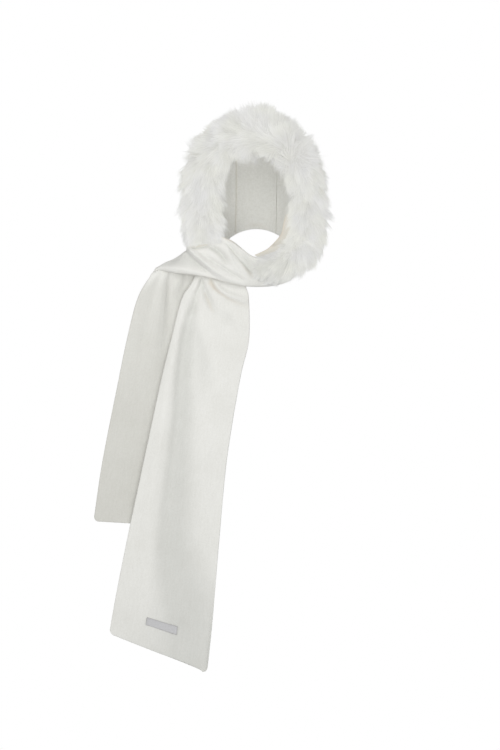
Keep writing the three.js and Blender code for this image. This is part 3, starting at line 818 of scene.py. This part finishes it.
class Finish:
    """A material, or the world, and the nodes that make it."""

    def __init__(self, owner):
        self.owner = owner
        self.owner.use_nodes = True
        self.tree = self.owner.node_tree
        self.tree.nodes.clear()

    def node(self, kind, settings=None, inputs=None, output=0):
        """Adds a node: its settings first, then the value or link of each named socket."""
        node = self.tree.nodes.new(kind)
        for name, value in (settings or {}).items():
            setattr(node, name, value)
        for name, value in (inputs or {}).items():
            if isinstance(value, Wire):
                self.tree.links.new(value.socket, node.inputs[name])
            else:
                node.inputs[name].default_value = value
        return Wire(self, node.outputs[output]) if node.outputs else None

    def noise(self, place, scale, detail, roughness=0.5, stretch=None):
        """Fractal noise from 0 to 1 at a place, which may be stretched first."""
        if stretch:
            place = self.node("ShaderNodeMapping", {}, {"Vector": place, "Scale": stretch})
        return self.node("ShaderNodeTexNoise", {}, {
            "Vector": place, "Scale": scale, "Detail": detail, "Roughness": roughness})

    def blend(self, share, first, second, way="MIX"):
        """Two colours mixed or multiplied by a share."""
        return self.node("ShaderNodeMix", {"data_type": "RGBA", "blend_type": way},
                         {0: share, 6: first, 7: second}, 2)

    def between(self, value, low, high):
        """A value spread so that low becomes 0 and high becomes 1, and kept between them."""
        return self.node("ShaderNodeMapRange", {}, {
            "Value": value, "From Min": low, "From Max": high})

    def bump(self, height, distance, strength):
        return self.node("ShaderNodeBump", {}, {
            "Height": height, "Distance": distance, "Strength": strength})

    def place(self):
        """The object's own coordinates."""
        return self.node("ShaderNodeTexCoord", output=3)

    def cloth(self, name="Cloth"):
        """The cloth's own coordinates."""
        return self.node("ShaderNodeUVMap", {"uv_map": name})

    def field(self, name):
        """A field that mesh_piece has stored at the vertices."""
        return self.node("ShaderNodeAttribute", {"attribute_name": name}, output=2)

    def surface(self, **inputs):
        """Ends the material in one Principled shader."""
        named = {key.replace("_", " "): value for key, value in inputs.items()}
        shader = self.node("ShaderNodeBsdfPrincipled", {}, named)
        self.node("ShaderNodeOutputMaterial", {}, {"Surface": shader})
        return self.owner


def new_finish(name):
    return Finish(bpy.data.materials.new(name))


def colour(red, green, blue):
    return (red, green, blue, 1.0)


def brushed_fleece():
    """Off-white fleece: soft patches of brushed pile, fine grain and painted warm shade in seams.

    Its fields run from 0 to 1. Where "napped" is 1, as in the hood, the pile stands in
    coarser tufts, "reverse" is the duller back of the cloth with painted
    shade that deepens towards the hem, "painted_shade" is painted shade down in a fold, at
    the hood's back and on the neck strip, and "seam" is painted warm shade along seams,
    edges and the lips of folds, and all over the neck strip.
    """
    finish = new_finish("brushed_fleece")
    place = finish.place()
    cloth = finish.cloth()
    patches = finish.noise(place, 16, 3)
    streaks = finish.noise(cloth, 60, 3, stretch=(4.0, 0.6, 1.0))
    grain = finish.noise(place, 360, 4, 0.7)
    tufts = (finish.noise(place, 190, 4, 0.7) - 0.5) * finish.field("napped") * 3.0
    shade = finish.between(patches * 0.3 + streaks * 0.25 + grain * 0.45, 0.38, 0.62) + tufts
    pile = finish.blend(shade, colour(0.812, 0.809, 0.77), colour(0.884, 0.883, 0.85))
    # the duller back and painted shade darken the pile, and painted warm shade tints it
    turned = finish.blend(finish.field("reverse"), pile, colour(0.815, 0.812, 0.792), "MULTIPLY")
    shaded = finish.blend(finish.field("painted_shade"), turned, colour(0.845, 0.85, 0.845), "MULTIPLY")
    tone = finish.blend(finish.field("seam") * 0.55, shaded, colour(0.72, 0.66, 0.56))
    height = grain * 0.5 + streaks * 0.35 + finish.noise(place, 220, 2) * 0.4
    return finish.surface(
        Base_Color=tone, Roughness=0.9 + patches * 0.08, Specular_IOR_Level=0.15,
        Sheen_Weight=0.35, Sheen_Roughness=0.5, Normal=finish.bump(height, 0.0012, 0.7))


def woven_tape():
    """Grey-white label tape: fine warp and weft, with painted shade along its edges."""
    finish = new_finish("woven_tape")
    cloth = finish.cloth()
    warp, weft = (
        finish.node("ShaderNodeTexWave", {"bands_direction": way}, {
            "Vector": cloth, "Scale": scale, "Distortion": 0.6, "Detail": 1.0}, 1)
        for way, scale in (("X", 380.0), ("Y", 520.0)))
    weave = warp * 0.5 + weft * 0.5
    tone = finish.blend(weave, colour(0.595, 0.595, 0.605), colour(0.695, 0.695, 0.71))
    edge_shaded = finish.blend(finish.field("seam"), tone, colour(0.46, 0.455, 0.45))
    return finish.surface(
        Base_Color=edge_shaded, Roughness=0.6 + weave * 0.1, Specular_IOR_Level=0.4,
        Normal=finish.bump(weave, 0.0003, 0.7))


def fur_hair():
    """White fur: each hair a shade of its own, with painted shade that darkens it a little at its
    root.
    """
    finish = new_finish("fur_hair")
    own = finish.node("ShaderNodeSeparateXYZ", {}, {"Vector": finish.cloth("OFBake")}, 0)
    up = finish.node("ShaderNodeSeparateXYZ", {}, {"Vector": finish.cloth("OFBake")}, 1)
    root = finish.blend(own, colour(0.63, 0.628, 0.604), colour(0.765, 0.763, 0.74))
    tip = finish.blend(own, colour(0.785, 0.788, 0.775), colour(0.925, 0.928, 0.912))
    patches = finish.between(finish.noise(finish.place(), 24, 2), 0.35, 0.65)
    tint = finish.blend(patches, colour(0.99, 0.988, 1.0), colour(1.0, 1.0, 0.975))
    hair = finish.blend(1.0, finish.blend(up, root, tip), tint, "MULTIPLY")
    return finish.surface(
        Base_Color=hair, Roughness=0.62, Specular_IOR_Level=0.3,
        Sheen_Weight=0.15, Sheen_Roughness=0.4)


def fur_backing():
    """The dense short underfur that shows between the long hairs, darkened as painted shade deep in
    the fur.
    """
    finish = new_finish("fur_backing")
    tufts = finish.noise(finish.place(), 160, 3, 0.6)
    tone = finish.blend(tufts, colour(0.66, 0.657, 0.635), colour(0.78, 0.777, 0.755))
    return finish.surface(
        Base_Color=tone, Roughness=0.9, Specular_IOR_Level=0.2,
        Normal=finish.bump(tufts, 0.004, 0.8))


# Fur

fur_at = smooth_table(FUR_LINE)


def fur_frame(share):
    """Centre, radius and the three directions of the roll, at share along it.

    Outward points away from the middle of the face opening, square to the line, and
    forward is square to both, towards the viewer. The roll closes at both of its ends,
    over a sixteenth of its length.
    """
    last = len(FUR_LINE) - 1
    row = fur_at(share * last)
    centre = row[..., :3]
    after = fur_at(np.minimum(1, share + 0.01) * last)[..., :3]
    before = fur_at(np.maximum(0, share - 0.01) * last)[..., :3]
    along = unit(after - before)
    outward = centre - FUR_RING_CENTRE
    outward = unit(outward - along * (outward * along).sum(-1, keepdims=True))
    forward = np.cross(along, outward)
    from_end = np.minimum(share, 1 - share)
    closing = np.sqrt(np.sin(math.pi * np.clip(from_end * 8, 0, 0.5)) + 0.04)
    return centre, row[..., 3] * closing, along, outward, forward


def fur_surface(share, turn, reach):
    """A point at reach times the radius from the line, and the way out there."""
    centre, radius, along, outward, forward = fur_frame(share)
    way = outward * np.cos(turn)[..., None] + forward * np.sin(turn)[..., None]
    return centre + way * (radius * reach)[..., None], way


def fur_cuff(neighbours):
    """The backing cloth of the fur, a cuff round the hood's edge that stays open behind.

    Low lumps of a twentieth of its radius, two sines multiplied, keep it uneven.
    """
    share = BACKING_START + BACKING_SPAN * edge_spaced(140, 0.004)[:, None]
    turn = BACKING_FROM + (BACKING_TO - BACKING_FROM) * edge_spaced(40, 0.012)[None, :]
    share, turn = np.broadcast_arrays(share, turn)
    lumps = 1 + 0.05 * np.sin(share * 90 + turn * 3) * np.sin(share * 47 - turn * 5)
    middle, way = fur_surface(share, turn, BACKING_REACH * lumps)
    for surface, normals in neighbours:
        middle = keep_off(middle, surface, normals, BACKING_THICK / 2 + BACKING_GAP, BACKING_LOOKS)
    normals = grid_normals(middle)
    normals = normals * np.sign((normals * way).sum(-1, keepdims=True))
    down, right, rim, uv = measured(middle)
    piece = even_sheet("fur_backing", middle, normals, BACKING_THICK, rim, uv, {})
    return piece, down[-1].mean(), right[:, -1].mean()


def neck_facing(neighbours):
    """A narrow strip of cloth from the neck hole's edge to the fur's backing."""
    edge = np.array(THROAT_EDGE, float)
    count = len(edge) - 1
    along = edge_spaced(40, 0.01)[:, None]
    over = edge_spaced(8, 0.1)[None, :]
    along, over = np.broadcast_arrays(along, over)
    seen = smooth_table(THROAT_EDGE)(along * count)
    turn = np.full(along.shape, THROAT_TURN)
    sewn = fur_surface(THROAT_START + THROAT_SPAN * along, turn, BACKING_REACH + THROAT_OVER)[0]
    middle = seen + (sewn - seen) * over[..., None]
    for surface, normals in neighbours:
        middle = keep_off(middle, surface, normals, THROAT_THICK / 2 + THROAT_GAP, FUR_REACH)
    down, right, rim, uv = measured(middle)
    # painted warm shade on the strip, stronger at its seen edge, and painted shade all over it
    warm = THROAT_WARM_SHADE[0] + THROAT_WARM_SHADE[1] * np.exp(-over * 6)
    fields = {"seam": warm, "painted_shade": np.full(over.shape, THROAT_SHADE)}
    piece = even_sheet("neck_facing", middle, grid_normals(middle), THROAT_THICK, rim, uv, fields)
    return piece


def comb(share, turn, sway):
    """The way the hair is brushed, in the surface of the roll.

    On the outer half it is brushed outwards. From there it turns, over the front of the
    crown, along the roll to the left, and on the inner edge it hangs inwards. Down the
    sides gravity is added, and at the chin the hair runs slantwise to the strip's end.
    Long soft waves of the whole pile and each lock's own sway turn it a little, and at the
    whorl on the right of the crown the locks lie every way.
    """
    centre, _, along, outward, forward = fur_frame(share)
    way = outward * np.cos(turn)[..., None] + forward * np.sin(turn)[..., None]
    round_way = forward * np.cos(turn)[..., None] - outward * np.sin(turn)[..., None]
    crown = ramp(centre[..., 2], *CROWN_COMB)[..., None]
    chin = ramp(share, *CHIN)[..., None]
    low_end = (1 - ramp(share, *LOW_END))[..., None]
    inward = 0.3 * ramp(turn, *INNER_TURNS)[..., None] * (1 - crown)
    apart = np.tanh((turn - HAIR_PARTING) * 1.8)[..., None]
    level = np.exp(-((turn - HAIR_PARTING + 0.3) / 0.9) ** 2)[..., None]
    swirl = along * (2 * ramp(share, 0.5, 0.78)[..., None] - 1) * level * crown
    fall = np.array([0, 0, -1.0]) + way * way[..., 2:3]
    waves = 0.30 * np.sin(share * 41 + turn * 1.7) + 0.2 * np.sin(share * 67 - turn * 2.9 + 1)
    flow = (round_way * apart * (1 - 0.8 * low_end) * (1 - 0.75 * chin)
            * (0.35 + 0.65 * crown + inward)
            + fall * (0.12 + 1.1 * (1 - crown) + 0.8 * low_end) * (1 - 0.3 * chin)
            + along * 1.2 * chin + along * (sway + waves)[..., None] + swirl * 0.9)
    from_whorl = (((share - WHORL_AT[0]) / WHORL_HALF[0]) ** 2
                  + ((turn - WHORL_AT[1]) / WHORL_HALF[1]) ** 2)
    every_way = along * 2.5 * sway[..., None] + round_way * 0.8 * np.sin(sway * 7)[..., None]
    flow = flow + np.exp(-from_whorl)[..., None] * every_way
    return unit(flow), way


def fur_locks(seed, locks, hairs):
    """Place, sway, size, lift and shade of every hair, lock by lock, from one seed.

    The thicker the roll, the more locks stand there: of three times as many places, each
    stays with a chance of the roll's radius over its largest one.
    """
    chance = np.random.default_rng(seed)
    widest = max(row[3] for row in FUR_LINE)
    share = LOCK_START + (1 - LOCK_START) * chance.random(locks * 3)
    radius = fur_frame(share)[1]
    share = share[chance.random(len(share)) < radius / widest][:locks]
    turn = LOCK_TURN_FROM + LOCK_TURN_SPAN * chance.random(locks) ** 0.9
    lock = {
        "share": share, "turn": turn, "sway": chance.normal(0, LOCK_SWAY, locks),
        "size": chance.uniform(*LOCK_SIZES, locks),
        "lift": (np.where(chance.random(locks) < STANDING_LOCKS, STANDING_LIFT, 0.0)
                 + chance.normal(0, LIFT_SPREAD, locks)),
    }
    spread = chance.normal(0, 1, (locks, hairs, 2)) * LOCK_SPREAD
    radius = fur_frame(share)[1]
    patchy = 0.16 * np.sin(share * 95 + turn * 2.1) * np.sin(share * 37 - turn * 3.7)
    shape = (locks, hairs)
    hair = {
        "share": np.clip(share[:, None] + spread[..., 0] / ROLL_LENGTH, 0.001, 0.999),
        "turn": turn[:, None] + spread[..., 1] / np.maximum(radius[:, None], 12),
        "sway": lock["sway"][:, None] + chance.normal(0, HAIR_SWAY, shape),
        "size": lock["size"][:, None] * chance.uniform(*HAIR_SIZES, shape),
        "lift": lock["lift"][:, None] + chance.normal(0, LIFT_SPREAD, shape),
        "loose": chance.random(shape),
        # each hair's own tone, with painted shade on the hairs under the chin
        "shade": np.clip(chance.normal(0.5, 0.18, locks)[:, None] + patchy[:, None]
                         + chance.normal(0, 0.12, shape)
                         - 0.35 * ramp(share, 0.84, 0.93)[:, None], 0, 1),
        "width": chance.uniform(*HAIR_WIDTHS, shape),
    }
    return lock, hair


def hair_curve(share, turn, sway, size, lift):
    """Points of hairs that leave the backing and bend over into the brushed way.

    Each step turns further from the way out to the brushed way. Hairs on the front lie
    flatter than those on the outline, so that the outline stays deep and full. They are
    longest where they droop over the forehead, and shorter on the crown's two shoulders,
    by the throat and at the low left end.
    """
    brushed, way = comb(share, turn, sway)
    centre, radius = fur_frame(share)[:2]
    front = np.clip(np.sin(turn), 0, 1)
    inside = ramp(turn, *INNER_TURNS)
    lean_from = HAIR_LEANS[0] + 0.2 * front + 0.15 * inside + lift
    lean_to = HAIR_LEANS[1] + 0.12 * front + 0.1 * inside + 0.8 * lift
    crown = ramp(centre[..., 2], *CROWN_SHORT)
    length = HAIR_LENGTH * size * np.clip(radius / 46, 0.5, 1) * (1 - INSIDE_SHORTER * inside)
    across = centre[..., 0]
    droop = inside * crown * np.exp(-((across - DROOP_AT) / DROOP_HALF) ** 2)
    shoulder = (1 - inside) * np.exp(-((np.abs(across) - SHOULDER_AT) / DROOP_HALF) ** 2) * crown
    throat = inside * ramp(share, 0.71, 0.79) * (1 - ramp(share, 0.9, 0.96))
    length = length * (1 + FRONT_LONGER * front)
    length = length * (1 - CROWN_SHORTER * crown * (1 - front) * (1 - inside))
    length = length * (0.6 + 0.4 * ramp(share, 0.03, 0.12))
    length = length * (1 + DROOP_LONGER * droop)
    length = length * (1 - SHOULDER_SHORTER * shoulder) * (1 - THROAT_SHORTER * throat)
    lean_to = lean_to - DROOP_LEANS * droop
    point = fur_surface(share, turn, FUR_ROOT)[0]
    points = [point]
    for step in range(HAIR_STEPS):
        lean = lean_from + (lean_to - lean_from) * (step + 0.5) / HAIR_STEPS
        heading = way * np.cos(lean)[..., None] + brushed * np.sin(lean)[..., None]
        point = point + heading * (length / HAIR_STEPS)[..., None]
        points.append(point)
    return np.stack(points, axis=-2), way


def fur_hairs(neighbours):
    """All hairs as curves of four points, gathered to the tips of their locks.

    Where the roll is deepest, what stands in front of HAIR_FRONT is pressed back by part of
    how far it stands out.
    """
    lock, hair = fur_locks(HAIR_SEED, LOCKS, HAIRS_IN_LOCK)
    names = ["share", "turn", "sway", "size", "lift"]
    own, way = hair_curve(*(hair[name] for name in names))
    lead = hair_curve(*(lock[name] for name in names))[0][:, None]
    along = np.linspace(0, 1, HAIR_STEPS + 1)
    inside = ramp(hair["turn"], *INNER_TURNS)
    drawn = np.where(hair["loose"] > LOOSE_ABOVE, LOOSE_GATHER, HAIR_GATHER) * (1 - 0.5 * inside)
    gather = drawn[..., None] * along ** 1.6
    points = own + (lead - own) * gather[..., None]
    for surface, normals, clearance in neighbours:
        points = keep_off(points, surface, normals, clearance, FUR_REACH)
    points[..., 1] += HAIR_PRESSED_BACK * np.maximum(HAIR_FRONT - points[..., 1], 0)
    return points, way, hair, lock


def hair_piece(name, points, way, shade, width):
    """Hairs as slim three-sided needles that taper to a point, closed at the root.

    Their shading follows the roll as well as the needle, as thick fur does, because light
    spreads from hair to hair.
    """
    count, rings = points.shape[0], points.shape[1] - 1
    heading = unit(np.gradient(points, axis=1))
    sideways = unit(np.cross(heading, way[:, None]))
    facing = np.cross(sideways, heading)
    taper = np.array(HAIR_TAPER)[None, :, None] * HAIR_HALF_WIDTH * width[:, None, None]
    ring = points[:, :-1]
    ways = [sideways[:, :-1], facing[:, :-1] * 0.8, -sideways[:, :-1]]
    corners = np.stack([ring + to * taper for to in ways], axis=2).reshape(count, rings * 3, 3)
    vertices = np.concatenate([corners, points[:, -1:]], axis=1).reshape(-1, 3)
    start = np.arange(count)[:, None, None] * (rings * 3 + 1)
    quads = []
    for step in range(rings - 1):
        for side in range(3):
            a, b = step * 3 + side, step * 3 + (side + 1) % 3
            quads.append([a, a + 3, b + 3, b])
    top = (rings - 1) * 3
    triangles = [[0, 1, 2]] + [[top + side, rings * 3, top + (side + 1) % 3] for side in range(3)]
    quads = (np.array(quads)[None] + start).reshape(-1, 4)
    triangles = (np.array(triangles)[None] + start).reshape(-1, 3)
    up = np.repeat(np.arange(rings) / rings, 3).tolist() + [1.0]
    uv = np.stack(np.broadcast_arrays(shade[:, None], np.array(up)[None]), axis=-1).reshape(-1, 2)
    piece = mesh_piece(name, vertices, quads, triangles, uv, "OFBake")
    soft = unit(way + np.array([0, -1.0, 0.15]) * ramp(-way[:, 1:2], -0.5, 0.4))
    shading = []
    for faces in (quads, triangles):
        a, b, c = (vertices[faces[:, corner]] for corner in range(3))
        own = unit(np.cross(b - a, c - b))
        hair = faces[:, 0] // (rings * 3 + 1)
        mixed = unit(soft[hair] * (1 - HAIR_OWN_SHADING) + own * HAIR_OWN_SHADING)
        shading.append(np.repeat(mixed, faces.shape[1], axis=0))
    piece.data.normals_split_custom_set(np.concatenate(shading).astype(np.float32))
    return piece


# Label

def label_sheet(tail):
    """The label: the tail's outer face lifted a little, with both ends standing off."""
    rows = edge_spaced(16, 0.03)[:, None]
    columns = edge_spaced(60, 0.007)[None, :]
    high, low = LABEL_PLACE
    place = high + (low - high) * rows + LABEL_TILT * columns
    across = LABEL_ACROSS[0] + (LABEL_ACROSS[1] - LABEL_ACROSS[0]) * columns
    place, across = np.broadcast_arrays(place, across)
    out = tail.out(place, across)
    face = tail.pressed(place, across) + TAIL_THICK / 2
    base = tail.middle(place, across) + out * face[..., None]
    ends = np.abs(2 * columns - 1)
    lift = (LABEL_GAP + LABEL_THICK / 2 + LABEL_END_LIFT * ramp(ends, 0.8, 1.0)
            + LABEL_ARCH * (2 * rows - 1) ** 2)
    middle = base + out * lift[..., None]
    rim, uv = measured(middle)[2:]
    # painted shade along the tape's edges
    return even_sheet("label_tape", middle, out, LABEL_THICK, rim, uv, {"seam": np.exp(-rim / 0.9)})


# Making the pieces

def finish_piece(piece, material, slot, *nodes):
    """Gives a piece its material, hides the CAD nodes it stands for, and puts it under its body. Its
    slot is not used.
    """
    piece.data.materials.append(material)
    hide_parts(*nodes)
    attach(piece, "root")
    return piece


def settle(cloth, surface, normals, first, last):
    """Moves a tail's rows from first to last clear of a piece, both faces by the same way."""
    rows = (cloth["place"][:, 0] >= first) & (cloth["place"][:, 0] <= last)
    near, far = "inner", "outer"
    if (cloth["out"][rows].mean((0, 1)) * normals.reshape(-1, 3).mean(0)).sum() < 0:
        near, far = far, near
    lifted = keep_off(cloth[near][rows], surface, normals, CLOTH_GAP, CLOTH_REACH)
    moved = cloth[far][rows] + (lifted - cloth[near][rows])
    cloth[near][rows] = lifted
    cloth[far][rows] = keep_off(moved, surface, normals, CLOTH_GAP + 0.5, CLOTH_REACH)
    meet_rims(cloth["outer"], cloth["inner"])


def front_of(cloth):
    """Samples of a tail's outer face, with the way out of each."""
    return cloth["outer"][::2, ::2], cloth["out"][::2, ::2]


def make_hood():
    """The three panels. Returns samples of their outer faces, with the way out of each.

    The side panels cast no shadow, so that the hood's inside is as light as in the photo.
    """
    panels = [
        ("hood_left", "hood_side_left", side_panel(-1), 66, HOOD_HEIGHT, False),
        ("hood_right", "hood_side_right", side_panel(1), 66, HOOD_HEIGHT, False),
        ("hood_centre", "hood_centre_panel", centre_panel, 26, 2 * CENTRE_HALF, True),
    ]
    faces, ways = [], []
    for name, node, point_at, columns, width, seamed_twice in panels:
        piece, face, way = hood_panel(name, point_at, columns, width, seamed_twice)
        finish_piece(piece, FLEECE, "fleece", node)
        piece.visible_shadow = name == "hood_centre"
        faces.append(face.reshape(-1, 3))
        ways.append(way.reshape(-1, 3))
    return np.concatenate(faces), np.concatenate(ways)


def make_tails(left_tail, right_tail, hood_outside):
    """Both tails, settled on the hood and on each other. Returns their outer samples.

    The right tail shows the duller back of its cloth where it has turned over, with painted
    shade that deepens towards the hem.
    """
    left = left_tail.surface(left_wrinkles)
    right = right_tail.surface(right_wrinkles)
    settle(left, *hood_outside, *NECK_ROWS)
    settle(right, *hood_outside, *NECK_ROWS)
    settle(right, *front_of(left), *OVER_ROWS)
    settle(right, left["inner"][::2, ::2], -left["out"][::2, ::2], *BEHIND_ROWS)
    left["reverse"] = np.zeros(left["place"].shape)
    rows = right["place"]
    # the duller back, with painted shade that deepens towards the hem
    right["reverse"] = ramp(rows, *TURNED_ROWS) * (0.6 + 0.4 * ramp(rows, *HEM_SHADE_ROWS))
    for cloth, name, node, hood_side in [(left, "tail_left", "scarf_left", "hood_left"),
                                         (right, "tail_right", "scarf_right", "hood_right")]:
        piece = closed_sheet(name, cloth["outer"], cloth["inner"], cloth["uv"],
                             {field: cloth[field] for field in ("seam", "painted_shade", "reverse")})
        finish_piece(piece, FLEECE, "fleece", node)
        cloth["length"] * MM
    return front_of(left), front_of(right)


def make_label(tail):
    label = finish_piece(label_sheet(tail), TAPE, "label", "woven_label")


def make_trim(hood_outside, left_outside, right_outside):
    """The fur's backing, the strip beside the neck hole, and the hairs in a few pieces.

    The hairs cast no shadow, because light goes through thick white fur.
    """
    backing, long, wide = fur_cuff([left_outside, right_outside])
    finish_piece(backing, BACKING, "fur", "fur_trim")

    facing = neck_facing([hood_outside, left_outside, right_outside])
    finish_piece(facing, FLEECE, "fleece", "scarf_right")

    points, ways, hair, lock = fur_hairs([
        (*hood_outside, 1.0), (*left_outside, 0.8), (*right_outside, 0.8)])
    order = np.argsort(lock["share"])
    for number, chosen in enumerate(np.array_split(order, HAIR_PIECES)):
        piece = hair_piece(
            f"fur_hair_{number + 1}", points[chosen].reshape(-1, HAIR_STEPS + 1, 3),
            ways[chosen].reshape(-1, 3), hair["shade"][chosen].ravel(),
            hair["width"][chosen].ravel())
        finish_piece(piece, HAIR, "fur", "fur_trim")
        piece.visible_shadow = False


# Studio, in metres

FLOOR_BELOW = 0.06         # how far below the lowest point the floor lies
FLOOR_REACH = 60.0
SURROUND_LIGHT = 0.42
LIT_POINT = np.array([0.0, -0.05, -0.35])
LIGHTS = [
    # name, place, edge length and power in watts
    ("key", (-0.6, -2.3, 0.4), 1.6, 21),
    ("front", (0.4, -3.0, -0.8), 1.8, 24.5),
    ("behind", (0.4, 2.6, 0.9), 1.8, 22),
]


def studio():
    """A white floor and surround, two soft lights in front, one behind, and even light.

    The surround looks full white to the camera but lights the part more weakly.
    """
    floor_finish = new_finish("white_floor")
    glow = floor_finish.node("ShaderNodeEmission", {}, {"Color": colour(1, 1, 1), "Strength": 1.0})
    floor_finish.node("ShaderNodeOutputMaterial", {}, {"Surface": glow})
    floor_z = cad_box[0][2] - FLOOR_BELOW
    reach = FLOOR_REACH
    corners = np.array([[-reach, -reach, floor_z], [reach, -reach, floor_z],
                        [reach, reach, floor_z], [-reach, reach, floor_z]]) / MM
    floor = mesh_piece("floor", corners, np.array([[0, 1, 2, 3]]))
    floor.data.materials.append(floor_finish.owner)
    floor.visible_diffuse = False
    floor.visible_glossy = False
    floor.visible_shadow = False

    surround = Finish(bpy.data.worlds.new("studio"))
    bpy.context.scene.world = surround.owner
    seen = surround.node("ShaderNodeBackground", {}, {"Color": colour(1, 1, 1), "Strength": 1.0})
    lit = surround.node("ShaderNodeBackground", {}, {
        "Color": colour(1.0, 0.998, 0.99), "Strength": SURROUND_LIGHT})
    camera_ray = surround.node("ShaderNodeLightPath")
    choice = surround.node("ShaderNodeMixShader", {}, {0: camera_ray, 1: lit, 2: seen})
    surround.node("ShaderNodeOutputWorld", {}, {"Surface": choice})

    for light in LIGHTS:
        soft_light(*light)


def soft_light(name, place, size, power):
    """A square soft light that looks at the knot."""
    lamp = bpy.data.lights.new(name, "AREA")
    lamp.size = size
    lamp.energy = power
    holder = bpy.data.objects.new(name, lamp)
    holder.location = place
    aim = LIT_POINT - np.array(place)
    flat = math.hypot(aim[0], aim[1])
    holder.rotation_euler = (math.pi / 2 + math.atan2(aim[2], flat), 0,
                             math.atan2(aim[1], aim[0]) - math.pi / 2)
    bpy.context.scene.collection.objects.link(holder)


def photo_camera():
    """The photograph's view: straight at the face, from 5 degrees above."""
    target = np.array([-0.013, -0.075, -0.508])
    distance = 3.5
    above = math.radians(5)
    lens = bpy.data.cameras.new("photo_view")
    lens.sensor_fit = "AUTO"
    lens.sensor_width = 36
    lens.lens = 84
    lens.clip_end = 300
    camera = bpy.data.objects.new("photo_view", lens)
    camera.location = target + distance * np.array([0, -math.cos(above), math.sin(above)])
    camera.rotation_euler = (math.pi / 2 - above, 0, 0)
    bpy.context.scene.collection.objects.link(camera)
    bpy.context.scene.camera = camera


FLEECE = brushed_fleece()
TAPE = woven_tape()
HAIR = fur_hair()
BACKING = fur_backing()

hood_faces = make_hood()
front_tail = Tail(LEFT_TAIL, LEFT_FOLDS, [], LEFT_WARM_SHADE)
rear_tail = Tail(RIGHT_TAIL, RIGHT_FOLDS, RIGHT_CREASES, RIGHT_WARM_SHADE)
tail_faces = make_tails(front_tail, rear_tail, hood_faces)
make_label(front_tail)
make_trim(hood_faces, *tail_faces)
studio()
photo_camera()
bpy.context.scene.view_settings.view_transform = "Standard"
